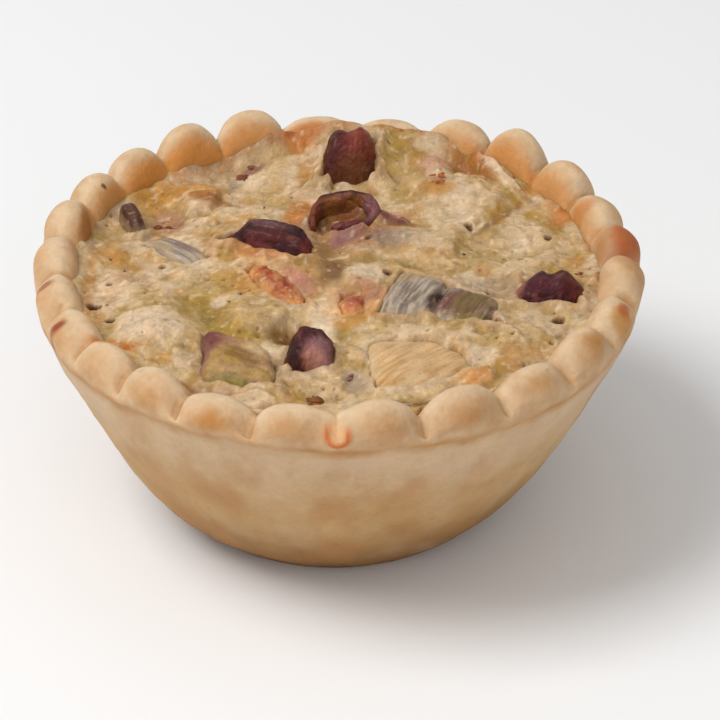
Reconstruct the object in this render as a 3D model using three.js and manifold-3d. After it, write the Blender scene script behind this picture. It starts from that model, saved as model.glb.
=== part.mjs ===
// Mini quiche: a shortcrust pastry case with a beaded rim, a baked egg and cheese filling,
// and the pieces of bacon, ham and leek that show in its top.
// Millimetres, +Z up. The origin is the middle of the footprint, on the plane of the flat foot.
import * as THREE from "three";
import { mergeVertices } from "three/addons/utils/BufferGeometryUtils.js";
import Module from "manifold-3d";

// Driving dimensions of the pastry case, in millimetres and degrees
const FOOT_R = 17.7; // the flat foot
const RIM_R = 35.7; // outside of the rim, before it settles out of round
const CREASE_Z = 26.6; // crease between the wall and the beaded rim
const CREASE_STEP = 0.55; // how far the rim stands proud of the wall there
const RIM_Z = 32.3; // crest of an even bead
const RIM_WIDTH = 5; // the rim from outside to inside
const CRUST = 3.4; // thickness of the floor and of the lower wall
const BEADS = 25;
const BEAD_DIRECTION = 5.3; // direction of the first bead from +X
const BEAD_FOOT = 1.5; // the beads begin this far below the middle of the rim's section
const NOTCH_DEPTH = 1.95; // from a crest down to the notch beside it
const NOTCH_DEEPER = 0.4; // deeper by this at the right, and shallower at the left
const NOTCH_DIRECTION = -10;
const NOTCH_PINCH = 0.28; // share of the rim's width that a notch takes away
const CREASE_LIFT = 1.1; // the crease runs this much higher in front
const LIFT_DIRECTION = -97;
const LIFT_REACH = 0.7; // how far round the rim that goes, in radians
const LIFT_HEIGHT = 3; // and how far above and below the crease

// Beads that stand out of line: number counted from BEAD_DIRECTION, and lift
const ODD_BEADS = new Map([
  [1, -0.3],
  [2, 0.9],
  [3, 2],
  [4, 0.8],
  [5, -0.6],
  [6, -0.7],
  [7, 0.9],
  [8, 1.1],
  [9, 0.4],
  [10, 0.5],
  [11, 0.7],
  [13, -0.5],
  [14, -0.3],
  [16, 0.6],
  [17, -0.2],
  [18, 0.5],
  [19, 0.9],
  [20, 0.6],
  [21, -0.3],
  [23, -1],
]);

// How far the beads crowd round the rim, in degrees, once, twice and three times in a turn
const CROWDING = [
  { times: 1, most: 2, direction: 41 },
  { times: 2, most: 1.8, direction: 135 },
  { times: 3, most: 1, direction: -21 },
];

// How the case settled out of true as it baked
const OVAL = 0.6; // the rim is this much longer and shorter in radius
const OVAL_DIRECTION = 112; // direction of its longer way
const CORNERED = 0.3; // and as much again in three soft corners
const CORNER_DIRECTION = 23;
const RIM_TILT = 0.74; // one side of the rim stands this much higher
const TILT_DIRECTION = 58;
const LEAN = 0.3; // the rim lies this far along X from over the foot

// Driving dimensions of the filling
const FILL_Z = 28.8; // its level by the rim
const LUMP = 1.8; // height of the larger lumps
const LUMP_SIZE = 6.5; // distance between them
const GAP = 0.3; // clearance between the filling and what it touches
const NOISE_SEED = 4;

// Fineness of the faceted surfaces
const STEPS_PER_BEAD = 6;
const FILL_SEGMENTS = 72;
const FILL_RINGS = 12;
const MORSEL_FACETS = [6, 5, 1];
const CURL_FACETS = [16, 2, 2];

const wasm = await Module();
wasm.setup();

const { degToRad, clamp, lerp, smoothstep } = THREE.MathUtils;

const MATERIALS = {
  pastry: { color: 0xd9b27c, roughness: 0.75 },
  filling: { color: 0xd8bc80, roughness: 0.5 },
  bacon: { color: 0x4f2027, roughness: 0.35 },
  ham: { color: 0xb9673c, roughness: 0.4 },
  leek: { color: 0x9c8f5e, roughness: 0.4 },
  leek_skin: { color: 0x6a5a4c, roughness: 0.5 },
  leek_leaf: { color: 0xcfa873, roughness: 0.5 },
};

// A number from 0 to 1 that depends only on two whole numbers
function chance(i, j) {
  const s = Math.sin(i * 127.1 + j * 311.7 + NOISE_SEED * 74.7) * 43758.5453;
  return s - Math.floor(s);
}

// Smooth noise from -1 to 1 over the plane, with features one unit across
function noise(x, y) {
  const i = Math.floor(x);
  const j = Math.floor(y);
  const u = smoothstep(x - i, 0, 1);
  const v = smoothstep(y - j, 0, 1);
  const low = lerp(chance(i, j), chance(i + 1, j), u);
  const high = lerp(chance(i, j + 1), chance(i + 1, j + 1), u);
  return 2 * lerp(low, high, v) - 1;
}

// A wave round the axis, at its crest in the given direction
const wave = (angle, times, direction) => Math.cos(times * (angle - degToRad(direction)));

// A soft bump: 1 in its middle, falling to nothing beyond its reach
const bell = (far, reach) => Math.exp(-((far / reach) ** 2));

// The case and filling as they settled: out of round, tilted and off centre, more so towards the rim
function settle(p) {
  const share = clamp(p.z / CREASE_Z, 0, 1.2);
  const angle = Math.atan2(p.y, p.x);
  const outward = OVAL * wave(angle, 2, OVAL_DIRECTION) + CORNERED * wave(angle, 3, CORNER_DIRECTION);
  const stretch = 1 + (share * share * outward) / RIM_R;
  const far = (Math.hypot(p.x, p.y) / RIM_R) * wave(angle, 1, TILT_DIRECTION);
  const lift = RIM_TILT * share * share * far;
  return p.set(p.x * stretch + LEAN * share, p.y * stretch, p.z + lift);
}

// Moves each vertex of a geometry by a function that changes a Vector3 in place
function reshape(geometry, move) {
  const position = geometry.getAttribute("position");
  const p = new THREE.Vector3();
  for (let i = 0; i < position.count; i++) {
    p.fromBufferAttribute(position, i);
    move(p);
    position.setXYZ(i, p.x, p.y, p.z);
  }
  return geometry;
}

// A profile of radius and height turned about Z, its first segment in the given direction
function turned(profile, segments, direction = 0) {
  const start = degToRad(direction + 90);
  return new THREE.LatheGeometry(profile, segments, start, 2 * Math.PI).rotateX(Math.PI / 2);
}

const UP = new THREE.Vector3(0, 0, 1);
const rz = (radius, height) => new THREE.Vector2(radius, height);

// Pastry case

// The rim's section is an ellipse around this point
const RIM_MIDDLE = rz(RIM_R - RIM_WIDTH / 2, lerp(CREASE_Z, RIM_Z, 0.45));
const INNER_TOP = rz(RIM_R - RIM_WIDTH + 0.2, CREASE_Z - 0.6);
const FLOOR_R = FOOT_R - CRUST / 2;

function outerWall() {
  const top = rz(RIM_R - CREASE_STEP, CREASE_Z);
  const curve = new THREE.CubicBezierCurve(rz(FOOT_R, 0), rz(22, 4.1), rz(24.1, 3.1), top);
  return curve.getPoints(6);
}

function rimArc() {
  const [from, to] = [degToRad(-38), degToRad(196)];
  const arc = new THREE.EllipseCurve(
    RIM_MIDDLE.x, RIM_MIDDLE.y, RIM_WIDTH / 2, RIM_Z - RIM_MIDDLE.y, from, to, false, 0,
  );
  return arc.getPoints(9);
}

// The cavity that the filling lies in, from the rim down to the floor, drawn in by a clearance
function cavityWall(clearance = 0) {
  const top = rz(INNER_TOP.x - clearance, INNER_TOP.y);
  const foot = rz(FLOOR_R - clearance, CRUST + clearance);
  const curve = new THREE.CubicBezierCurve(top, rz(21.6 - clearance, 7.6), rz(19.6, 6.4), foot);
  return curve.getPoints(3);
}

// Round cap from 0 in the notch to 1 at the crest, for a place from -1 to 1 along a bead
function beadCap(place) {
  const flat = 0.14;
  const low = Math.sqrt(flat);
  return (Math.sqrt(1 - (1 - flat) * place * place) - low) / (1 - low);
}

// Presses the beads into the rim: it sinks and narrows at each notch
function crimp(p) {
  const share = smoothstep(p.z, RIM_MIDDLE.y - BEAD_FOOT, RIM_Z);
  const angle = Math.atan2(p.y, p.x);
  const turn = (angle - degToRad(BEAD_DIRECTION)) / (2 * Math.PI);
  const along = (turn - Math.floor(turn)) * BEADS;
  const cap = beadCap(2 * (along - Math.round(along)));
  const lift = ODD_BEADS.get(Math.round(along) % BEADS) ?? 0;
  const radius = Math.hypot(p.x, p.y);
  const pinched = lerp(radius, RIM_MIDDLE.x, NOTCH_PINCH * share * (1 - cap));
  const depth = NOTCH_DEPTH + NOTCH_DEEPER * wave(angle, 1, NOTCH_DIRECTION);
  p.z += share * (lift * cap - depth * (1 - cap));
  p.x *= pinched / radius;
  p.y *= pinched / radius;
}

// How much higher the crease, and what lies near it, runs at the front
function creaseLift(p) {
  const angle = Math.atan2(p.y, p.x);
  const front = Math.exp(((wave(angle, 1, LIFT_DIRECTION) - 1) * 2) / LIFT_REACH ** 2);
  return CREASE_LIFT * front * bell(p.z - CREASE_Z, LIFT_HEIGHT);
}

// Turns a point about the axis to where the beads crowd or spread
function crowd(p) {
  const angle = Math.atan2(p.y, p.x);
  let turn = 0;
  for (const { times, most, direction } of CROWDING) turn += degToRad(most) * wave(angle, times, direction);
  p.applyAxisAngle(UP, turn);
}

function pastryCase() {
  const axisBottom = rz(0, 0);
  const axisTop = rz(0, CRUST);
  const profile = [axisBottom, ...outerWall(), ...rimArc(), ...cavityWall(), axisTop];
  const geometry = turned(profile, BEADS * STEPS_PER_BEAD, BEAD_DIRECTION);
  return reshape(geometry, (p) => {
    const footWallOrCavity = p.z < CREASE_Z && Math.hypot(p.x, p.y) < RIM_MIDDLE.x;
    if (!footWallOrCavity) {
      const lift = creaseLift(p);
      crimp(p);
      p.z += lift;
    }
    crowd(p);
    settle(p);
  });
}

// Filling

// Broad forms of the filling's top: place, reach and height in millimetres, hollows below zero
const FORMS = [
  { x: 0, y: 0, reach: 21, height: 0.9 }, // domed in the middle
  { x: 13, y: 21, reach: 11, height: 1.2 }, // piled against the back of the rim
  { x: 16, y: 25, reach: 2.6, height: -1.6 },
  { x: 1, y: 31, reach: 6, height: 2.4 },
  { x: 9, y: 30, reach: 5, height: 1.8 },
  { x: 16, y: 29, reach: 4, height: 1 },
  { x: -9, y: 30, reach: 4, height: 0.8 },
  { x: 2.4, y: 20.4, reach: 3, height: -1 }, // hollow in front of the bacon at the back
  { x: -17, y: 23, reach: 7, height: -0.7 }, // sunk below the rim at the back left
  { x: -16.2, y: 20.2, reach: 3.6, height: 1 },
  { x: -5.4, y: -12.8, reach: 2.6, height: -2.2 }, // hollow between ham and leek
  { x: -9, y: -9, reach: 3.6, height: 0.6 },
  { x: -14.4, y: -7.4, reach: 3.6, height: -1.5 },
  { x: -20, y: -13, reach: 6, height: 0.8 },
  { x: 6, y: 5, reach: 6, height: 0.7 },
  { x: 21, y: -14, reach: 5, height: 0.6 },
];

// Height of the filling's top over a point of the plane
function fillTop(x, y) {
  let z = FILL_Z;
  for (const form of FORMS) {
    z += form.height * bell(Math.hypot(x - form.x, y - form.y), form.reach);
  }
  return z + 0.5 * LUMP * noise(x / LUMP_SIZE, y / LUMP_SIZE);
}

function fillingBody() {
  const wall = cavityWall(GAP);
  const edge = RIM_R - RIM_WIDTH - GAP;
  const rings = Array.from({ length: FILL_RINGS }, (_, i) => rz(edge * (1 - i / FILL_RINGS), FILL_Z));
  const profile = [rz(0, wall.at(-1).y), ...wall.reverse(), ...rings, rz(0, FILL_Z)];
  const geometry = turned(profile, FILL_SEGMENTS);
  return reshape(geometry, (p) => {
    const onTop = p.z === Math.fround(FILL_Z);
    settle(p);
    if (onTop) p.z = fillTop(p.x, p.y);
  });
}

// Pieces in the filling

// Tops of the pieces: the share of the height at a place from -1 to 1 along and across a piece
const taperedLeft = (p) => 1 - 0.4 * smoothstep(-p, 0.3, 1);
const grooved = (p, q) => taperedLeft(p) * (0.9 + 0.1 * q - 0.14 * bell(q - 0.1 + 0.2 * p, 0.16));
const tallRight = (p, q) => 0.76 + 0.1 * bell(p + 0.5, 0.4) + 0.2 * bell(p - 0.45, 0.4) + 0.06 * q;
const twoLobes = (p) => 0.66 + 0.28 * bell(p + 0.3, 0.3) + 0.3 * bell(p - 0.36, 0.3);
const wedge = (p, q) => 1 - 0.6 * Math.max(-0.35 - p, 0) - 0.34 * Math.max(0.2 - q, 0);
const sloping = (p, q) => 0.85 + 0.15 * q;
const facet = (p, q) => 0.82 + 0.18 * q - 0.1 * smoothstep(-q, 0.2, 0.8);
const folded = (p, q) => 0.82 + 0.16 * smoothstep(-p, -0.02, 0.18) + 0.05 * Math.cos(3 * q);
const rising = (p) => 0.85 - 0.15 * p;
const wavy = (phase) => (p, q) => 0.85 + 0.12 * Math.sin(2.6 * p + phase) + 0.08 * Math.cos(3.3 * q + phase);

// Pieces that lie in the top: corners seen from above (near left, near right, far right, far left),
// height of the edge and of the top, how round the outline is, and how steep the sides are
const MORSELS = [
  {
    name: "bacon_left", look: "bacon", corners: [[-13.9, 6.2], [-1.8, 1.4], [-2.9, 8], [-12.2, 9.2]],
    low: 28.4, high: 32.6, round: 0.6, steep: 4, top: grooved,
  },
  {
    name: "bacon_back", look: "bacon", corners: [[-1.5, 22.4], [5.2, 21.8], [5.6, 28.6], [-1.4, 28.2]],
    low: 28.6, high: 35.2, round: 0.5, steep: 4, top: tallRight,
  },
  {
    name: "bacon_right", look: "bacon", corners: [[20.6, -7], [28.2, -8.4], [29.3, -2.2], [21.2, -2.4]],
    low: 28.3, high: 32, round: 0.8, steep: 3, top: twoLobes,
  },
  {
    name: "bacon_front", look: "bacon", corners: [[-5.3, -22.8], [0.5, -21.6], [-0.6, -16.8], [-5.5, -16.4]],
    low: 28, high: 32.4, round: 0.3, steep: 5, top: wedge,
  },
  {
    name: "ham_left", look: "ham", corners: [[-11.4, 0.2], [-5.2, -8], [-2.3, -5.6], [-9.2, 3]],
    low: 28.2, high: 30.9, round: 0.7, steep: 2.5, top: sloping,
  },
  {
    name: "ham_centre", look: "ham", corners: [[0, -10.2], [3.3, -10.8], [5, -5.2], [0.6, -4.6]],
    low: 28, high: 30.6, round: 0.8, steep: 2.5, top: sloping,
  },
  {
    name: "leek_front", look: "leek", corners: [[-14.8, -23.8], [-6.2, -26.6], [-6.4, -19.6], [-15, -14.6]],
    low: 27.8, high: 31.6, round: 0.2, steep: 6, top: facet,
  },
  {
    name: "leek_right", look: "leek", corners: [[4.4, -10.2], [18.2, -13.8], [19.3, -7.6], [7.8, -0.6]],
    low: 28.6, high: 31, round: 0.15, steep: 8, top: folded,
  },
  {
    name: "leek_left", look: "leek", corners: [[-22.9, 7.6], [-16.8, 1.2], [-13.8, 4], [-20, 10.2]],
    low: 28.3, high: 29.8, round: 0.3, steep: 5, top: wavy(1.4),
  },
  {
    name: "leek_back", look: "leek_skin", corners: [[-26, 14.4], [-23.9, 9.6], [-22, 10.6], [-23.8, 15.9]],
    low: 28.6, high: 31.2, round: 0.5, steep: 4, top: rising,
  },
  {
    name: "leek_leaf", look: "leek_leaf", corners: [[3.6, -27.4], [17.2, -22.2], [11.8, -14.8], [3.2, -15.4]],
    low: 28.4, high: 29.9, round: 0.4, steep: 4, top: wavy(2.6),
  },
];
const SUNK = 0.8; // how far a piece goes down into the filling below its edge

// The strip of bacon that stands on its edge and curls, by its path seen from above
const CURL_PATH = [
  [-0.4, 9.6],
  [1.8, 9.6],
  [3.9, 10.2],
  [5, 11.7],
  [3.8, 13.3],
  [1.3, 13.8],
  [-1, 13.3],
  [-2.4, 11.8],
  [-2.5, 9.4],
];
const CURL_THICKNESS = 1.5;
const CURL_LEVEL = 29.8;
const CURL_LOW = 1; // half its height along the front of its loop
const CURL_TALL = 2.8; // and along the back
const CURL_SQUARE = 3; // how square its section is
const CURL_SWELL = 0.3; // share of its thickness by which it swells and thins
const CURL_SWELLS = 3; // and how often along it

// A piece over its four corners, domed as steeply as given and flat below
function morselGeometry({ corners, low, high, round, steep, top }) {
  const [a, b, c, d] = corners.map(([x, y]) => new THREE.Vector2(x, y));
  const geometry = new THREE.BoxGeometry(2, 2, 2, ...MORSEL_FACETS);
  return reshape(geometry, (point) => {
    const p = Math.sin((point.x * Math.PI) / 2);
    const q = Math.sin((point.y * Math.PI) / 2);
    const along = (1 + p * Math.sqrt(1 - (round * q * q) / 2)) / 2;
    const across = (1 + q * Math.sqrt(1 - (round * p * p) / 2)) / 2;
    const near = a.clone().lerp(b, along);
    const far = d.clone().lerp(c, along);
    const at = near.lerp(far, across);
    const dome = Math.sqrt((1 - Math.abs(p) ** steep) * (1 - Math.abs(q) ** steep));
    const height = point.z > 0 ? low + (high - low) * dome * top(p, q) : low - SUNK;
    point.set(at.x, at.y, height);
  });
}

// The curled strip: a rounded bar bent along its path, higher at the back of its loop
function curlGeometry() {
  const path = new THREE.CatmullRomCurve3(CURL_PATH.map(([x, y]) => new THREE.Vector3(x, y, 0)));
  const geometry = new THREE.BoxGeometry(2, 2, 2, ...CURL_FACETS);
  return reshape(geometry, (p) => {
    const [x, y, z] = p.toArray().map((side) => Math.abs(side) ** CURL_SQUARE);
    p.divideScalar((x + y + z) ** (1 / CURL_SQUARE));
    const share = clamp((p.x + 1) / 2, 0, 1);
    const at = path.getPoint(share);
    const ahead = path.getTangent(share);
    const swell = 1 + CURL_SWELL * Math.sin(2 * Math.PI * CURL_SWELLS * share);
    const across = (p.y * swell * CURL_THICKNESS) / 2;
    const atBack = smoothstep(share, 0.25, 0.5) - 0.6 * smoothstep(share, 0.75, 1);
    const height = CURL_LEVEL + p.z * lerp(CURL_LOW, CURL_TALL, atBack);
    p.set(at.x - ahead.y * across, at.y + ahead.x * across, height);
  });
}

// Solids: joining and cutting

// A geometry with one vertex at each place
function welded(geometry) {
  const bare = new THREE.BufferGeometry().setAttribute("position", geometry.getAttribute("position"));
  return mergeVertices(bare.setIndex(geometry.index), 1e-3);
}

// A geometry grown outward, so that its faces and square edges clear the first one by a margin
function grown(geometry, margin) {
  const larger = welded(geometry);
  larger.computeVertexNormals();
  const normals = larger.getAttribute("normal");
  const outward = new THREE.Vector3();
  let vertex = 0;
  return reshape(larger, (p) => {
    outward.fromBufferAttribute(normals, vertex++);
    p.addScaledVector(outward, margin * Math.SQRT2);
  });
}

function solidOf(geometry) {
  const merged = welded(geometry);
  const vertProperties = new Float32Array(merged.getAttribute("position").array);
  const triVerts = new Uint32Array(merged.index.array);
  return new wasm.Manifold(new wasm.Mesh({ numProp: 3, vertProperties, triVerts }));
}

function geometryOf(solid) {
  const { vertProperties, triVerts } = solid.getMesh();
  const geometry = new THREE.BufferGeometry();
  geometry.setAttribute("position", new THREE.BufferAttribute(vertProperties, 3));
  geometry.setIndex(new THREE.BufferAttribute(triVerts, 1));
  return geometry;
}

function meshOf(name, look, geometry) {
  const mesh = new THREE.Mesh(geometry, new THREE.MeshStandardMaterial(MATERIALS[look]));
  mesh.name = name;
  return mesh;
}

// Assembly

const quiche = new THREE.Group();
quiche.add(meshOf("pastry_case", "pastry", pastryCase()));

const pieces = [
  { name: "bacon_centre", look: "bacon", geometry: curlGeometry() },
  ...MORSELS.map((morsel) => ({ ...morsel, geometry: morselGeometry(morsel) })),
];
let filling = solidOf(fillingBody());
for (const { name, look, geometry } of pieces) {
  filling = filling.subtract(solidOf(grown(geometry, GAP)));
  quiche.add(meshOf(name, look, geometry));
}
quiche.add(meshOf("filling", "filling", geometryOf(filling)));

// The origin goes to the middle of the whole, on the plane of the foot
const middle = new THREE.Box3().setFromObject(quiche).getCenter(new THREE.Vector3());
for (const mesh of quiche.children) mesh.geometry.translate(-middle.x, -middle.y, 0);

export default quiche;
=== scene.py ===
"""Looks of a mini quiche: its baked case, its egg filling and the pieces in it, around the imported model.

Shapes are worked out in millimetres round the axis of the flat foot, +Z up, and become metres in piece().
The first number given to a noise is its seed, and the next is the size of its features.
"""
import itertools
import math
from collections import namedtuple

import bpy
import numpy as np
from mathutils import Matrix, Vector


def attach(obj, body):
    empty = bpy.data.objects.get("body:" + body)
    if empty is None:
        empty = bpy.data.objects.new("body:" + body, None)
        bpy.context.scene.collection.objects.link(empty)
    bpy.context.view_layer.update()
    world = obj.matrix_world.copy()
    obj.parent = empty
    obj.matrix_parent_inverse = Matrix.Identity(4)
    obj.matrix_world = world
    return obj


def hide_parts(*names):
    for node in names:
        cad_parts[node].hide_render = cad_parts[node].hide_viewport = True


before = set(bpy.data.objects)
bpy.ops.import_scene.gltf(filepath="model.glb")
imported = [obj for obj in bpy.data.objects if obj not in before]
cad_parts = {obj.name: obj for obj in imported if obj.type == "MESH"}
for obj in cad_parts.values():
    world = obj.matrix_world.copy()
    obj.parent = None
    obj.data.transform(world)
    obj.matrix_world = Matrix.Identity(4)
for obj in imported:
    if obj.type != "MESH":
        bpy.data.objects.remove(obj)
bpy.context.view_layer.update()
MM = 0.001

# Driving sizes of the pastry case, as in the solids
FOOT_R = 17.7
MIDDLE_R = 0.02  # of the smallest ring of points, round the axis
FOOT_RINGS = (MIDDLE_R, 6, 12, 16, 17.2)  # radii of the rings of points under the foot
RIM_R = 35.7
WALL_START = 0.05  # height of the wall's lowest points
WALL_BEND = ((22, 4.1), (24.1, 3.1))  # handles of the wall's curve
CREASE_Z = 26.6
CREASE_STEP = 0.55
RIM_Z = 32.3
RIM_WIDTH = 5.0
CREASE_LIFT, LIFT_DIRECTION, LIFT_REACH = 1.1, -97.0, 0.7
LIFT_FADE = 3.0  # how far above and below the crease its lift fades out
CRUST = 3.4
CAVITY_BEND = ((21.6, 7.6), (19.6, 6.4))  # handles of the curve inside the case
BEADS = 25
BEAD_DIRECTION = 5.3
CAP_FLAT = 0.14  # how flat the top of a bead is
CAP_FADE = 1.5  # how far under the middle of the rim the beads begin
NOTCH_DEPTH = 1.95
NOTCH_DEEPER, NOTCH_DIRECTION = 0.4, -10.0
NOTCH_PINCH = 0.28
# How much higher or lower some beads stand, by number
ODD_BEADS = {
    1: -0.3, 2: 0.9, 3: 2.0, 4: 0.8, 5: -0.6, 6: -0.7, 7: 0.9, 8: 1.1, 9: 0.4, 10: 0.5, 11: 0.7,
    13: -0.5, 14: -0.3, 16: 0.6, 17: -0.2, 18: 0.5, 19: 0.9, 20: 0.6, 21: -0.3, 23: -1.0,
}
# How the beads crowd together: waves round the rim, degrees that they move, direction
CROWDING = [(1, 2.0, 41.0), (2, 1.8, 135.0), (3, 1.0, -21.0)]
OVAL, OVAL_DIRECTION = 0.6, 112.0
CORNERED, CORNER_DIRECTION = 0.3, 23.0
RIM_TILT, TILT_DIRECTION = 0.74, 58.0
LEAN = 0.3
RIM_MIDDLE_R = RIM_R - RIM_WIDTH / 2
RIM_MIDDLE_Z = CREASE_Z + 0.45 * (RIM_Z - CREASE_Z)
INNER_TOP = (RIM_R - RIM_WIDTH + 0.2, CREASE_Z - 0.6)
FLOOR_R = FOOT_R - CRUST / 2

# Driving sizes of the filling, as in the solids
FILL_Z = 28.8
LUMP = 1.8
LUMP_SIZE = 6.5
LUMP_SEED = 4
LUMP_HASH = (127.1, 311.7, 74.7, 43758.5453)

# The photograph's view: the point over the foot's axis at FOCUS_Z falls on FOCUS_PIXEL
PHOTO_SIDE = 720
FOCUS_PIXEL = (334.4, 271.15)
FOCUS_Z = 29.5
FOCAL_PIXELS = 3448
CAMERA_DISTANCE = 400.0
CAMERA_ELEVATION = 29.25
SENSOR = 36.0

FOOT_TOUCH = 0.01  # height under which a point of the solid case lies on its foot


def foot_axis():
    """Where the foot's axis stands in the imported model, in millimetres."""
    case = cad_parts["pastry_case"].data
    points = np.array([v.co for v in case.vertices]) / MM
    foot = points[points[:, 2] < FOOT_TOUCH]
    middle = (foot.min(axis=0) + foot.max(axis=0)) / 2
    return np.array([middle[0], middle[1], 0.0])


AXIS = foot_axis()


# Numbers: waves, soft steps and repeatable noise

def smoothstep(value, low, high):
    """Goes softly from 0 at low to 1 at high, whichever of them is larger."""
    share = np.clip((value - low) / (high - low), 0, 1)
    return share * share * (3 - 2 * share)


def mix(a, b, share):
    return a + (b - a) * share


def bell(value, width):
    return np.exp(-(value / width) ** 2)


def wave(angle, times, direction):
    return np.cos(times * (angle - math.radians(direction)))


def turned(x, y, turn):
    """Distances along and across a direction in the plane, given in radians."""
    return x * math.cos(turn) + y * math.sin(turn), y * math.cos(turn) - x * math.sin(turn)


HASH_STRIDES = (374761393, 668265263, 2147483629)
HASH_MIX = np.uint64(2246822519)
LOW_BITS = np.uint64(0xFFFFFFFF)
SEED_STRIDE, SEED_START = 40503, 977


def chance(seed, *places):
    """A number from 0 to 1 that depends only on the seed and whole-number places."""
    mixed = np.full(np.shape(places[0]), seed * SEED_STRIDE + SEED_START, dtype=np.int64)
    for place, stride in zip(places, HASH_STRIDES):
        mixed = mixed + np.asarray(place).astype(np.int64) * stride
    mixed = mixed.astype(np.uint64) & LOW_BITS
    for shift in (np.uint64(15), np.uint64(13)):
        mixed = ((mixed ^ (mixed >> shift)) * HASH_MIX) & LOW_BITS
    return (mixed ^ (mixed >> np.uint64(16))).astype(float) / float(LOW_BITS)


def noise(seed, size, *places):
    """Smooth noise from -1 to 1 over two or three coordinates, with features as wide as size."""
    scaled = [np.asarray(place, float) / size for place in places]
    corners = [np.floor(place) for place in scaled]
    blends = [smoothstep(place - corner, 0, 1) for place, corner in zip(scaled, corners)]
    total = 0
    for picks in itertools.product((0, 1), repeat=len(places)):
        weight = 1
        for pick, blend in zip(picks, blends):
            weight = weight * (blend if pick else 1 - blend)
        total = total + weight * chance(seed, *(corner + pick for corner, pick in zip(corners, picks)))
    return 2 * total - 1


FIRST_TURN, OCTAVE_TURN = 0.6, 1.1  # turn of the first octave, and from each to the next, in radians


def rough(seed, size, octaves, *places):
    """Noise with finer noise on it, each octave turned so that no grid shows."""
    x, y, *rest = [np.asarray(place, float) for place in places]
    total = 0
    for octave in range(octaves):
        plane = turned(x, y, -FIRST_TURN - OCTAVE_TURN * octave)
        total = total + noise(seed + octave, size / 2 ** octave, *plane, *rest) / 2 ** octave
    return total / (2 - 2 / 2 ** octaves)


def cells(seed, size, *places):
    """Distance to the nearest of points scattered about as far apart as size, in units of size."""
    scaled = [np.asarray(place, float) / size for place in places]
    corners = [np.floor(place) for place in scaled]
    nearest = np.full(np.shape(scaled[0]), 9.0)
    for step in itertools.product((-1, 0, 1), repeat=len(places)):
        there = [corner + s for corner, s in zip(corners, step)]
        gap = 0
        for number, (place, cell) in enumerate(zip(scaled, there)):
            gap = gap + (place - cell - chance(seed + 31 * number, *there)) ** 2
        nearest = np.minimum(nearest, gap)
    return np.sqrt(nearest)


# Colours: painted on the points, in linear light

def colour(red, green, blue):
    """A display colour from 0 to 255 as linear light."""
    return np.array([((c / 255 + 0.055) / 1.055) ** 2.4 for c in (red, green, blue)])


def paint(tint, mask, shade):
    """Lays a colour over painted points."""
    return mix(tint, shade, np.clip(mask, 0, 1)[..., None])


def lay(tint, *layers):
    """Lays colours in turn: a colour, its strength, and a field with its values for none and all of it."""
    for shade, strength, field, none, full in layers:
        tint = paint(tint, strength * smoothstep(field, none, full), shade)
    return tint


def uneven(tint, share):
    """Painted points made lighter and darker by a share."""
    return tint * (1 + share)[..., None]


# A soft-edged spot of colour: its middle, half length and width, direction, colour and strength
Spot = namedtuple("Spot", "x y long wide turn colour strength")
SPOT_EDGE, SPOT_CORE = 1.3, 0.45  # where a spot ends and where it is full, in half lengths
RAGGED, RAGGED_SIZE = 0.8, 3.0  # how far an edge wanders, and over what length


def ragged(seed, x, y):
    """The same places moved about a little, so that what is painted there has an uneven edge."""
    aside, up = (rough(start, RAGGED_SIZE, 3, x, y) for start in (seed, seed + 7))
    return x + RAGGED * aside, y + RAGGED * up


def paint_spots(tint, spots, seed, x, y):
    u, v = ragged(seed, x, y)
    for spot in spots:
        along, across = turned(u - spot.x, v - spot.y, math.radians(spot.turn))
        out = np.hypot(along / spot.long, across / spot.wide)
        tint = lay(tint, (spot.colour, spot.strength, out, SPOT_EDGE, SPOT_CORE))
    return tint


CREAM = colour(204, 175, 134)
# a milky pale colour of the custard, also used for painted highlights on crests and painted glints on the
# pieces
MILK_AND_HIGHLIGHT = colour(217, 191, 160)
GLINT = colour(238, 218, 188)
STRAW = colour(190, 155, 104)
AMBER = colour(208, 150, 88)
GOLD = colour(182, 128, 56)
TOAST = colour(162, 100, 40)
ORANGE = colour(190, 112, 38)
STAIN = colour(168, 88, 44)
RUST = colour(136, 54, 30)
OLIVE = colour(162, 128, 48)
# Custard in shade: a painted-shade colour laid in hollows, round the pieces, in pores and in darker spots of
# the top
SHADED_CUSTARD = colour(146, 104, 50)
MOSS = colour(112, 96, 38)
BROWN = colour(104, 64, 28)
CRUST_BROWN = colour(112, 62, 32)
# painted shade for the insides of the burst holes
HOLE_SHADE = colour(88, 46, 20)
UMBER = colour(56, 34, 20)
ROSE = colour(184, 124, 104)
FLESH = colour(158, 104, 84)
MAUVE = colour(136, 92, 92)
GREY = colour(142, 128, 114)
LEEK_GREEN = colour(121, 102, 34)
LEEK_PALE = colour(172, 134, 88)
LEEK_SILVER = colour(170, 152, 133)
LEEK_PLUM = colour(108, 50, 50)
LEEK_LINE = colour(76, 58, 48)


# Meshes

def unit_vectors(vectors):
    return vectors / np.maximum(np.linalg.norm(vectors, axis=-1, keepdims=True), 1e-9)


def quads(number):
    """Quads between the points of a numbered grid."""
    corners = (number[:-1, :-1], number[1:, :-1], number[1:, 1:], number[:-1, 1:])
    return np.stack(corners, axis=-1).reshape(-1, 4)


def ring(number):
    """A numbered grid with its first column again at its end, so that it runs right round."""
    return np.concatenate([number, number[:, :1]], axis=1)


def ring_normals(points):
    """Normals of a grid that runs right round, outward where columns run anticlockwise and rows upward."""
    around = np.roll(points, -1, axis=1) - np.roll(points, 1, axis=1)
    return unit_vectors(np.cross(around, np.gradient(points, axis=0)))


def raised(points, faces, relief):
    """The points of a closed mesh of quads, each moved along its normal."""
    corners = points[faces]
    flat = np.cross(corners[:, 2] - corners[:, 0], corners[:, 3] - corners[:, 1])
    normals = np.zeros_like(points)
    for corner in faces.T:
        np.add.at(normals, corner, flat)
    return points + unit_vectors(normals) * relief[:, None]


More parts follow.
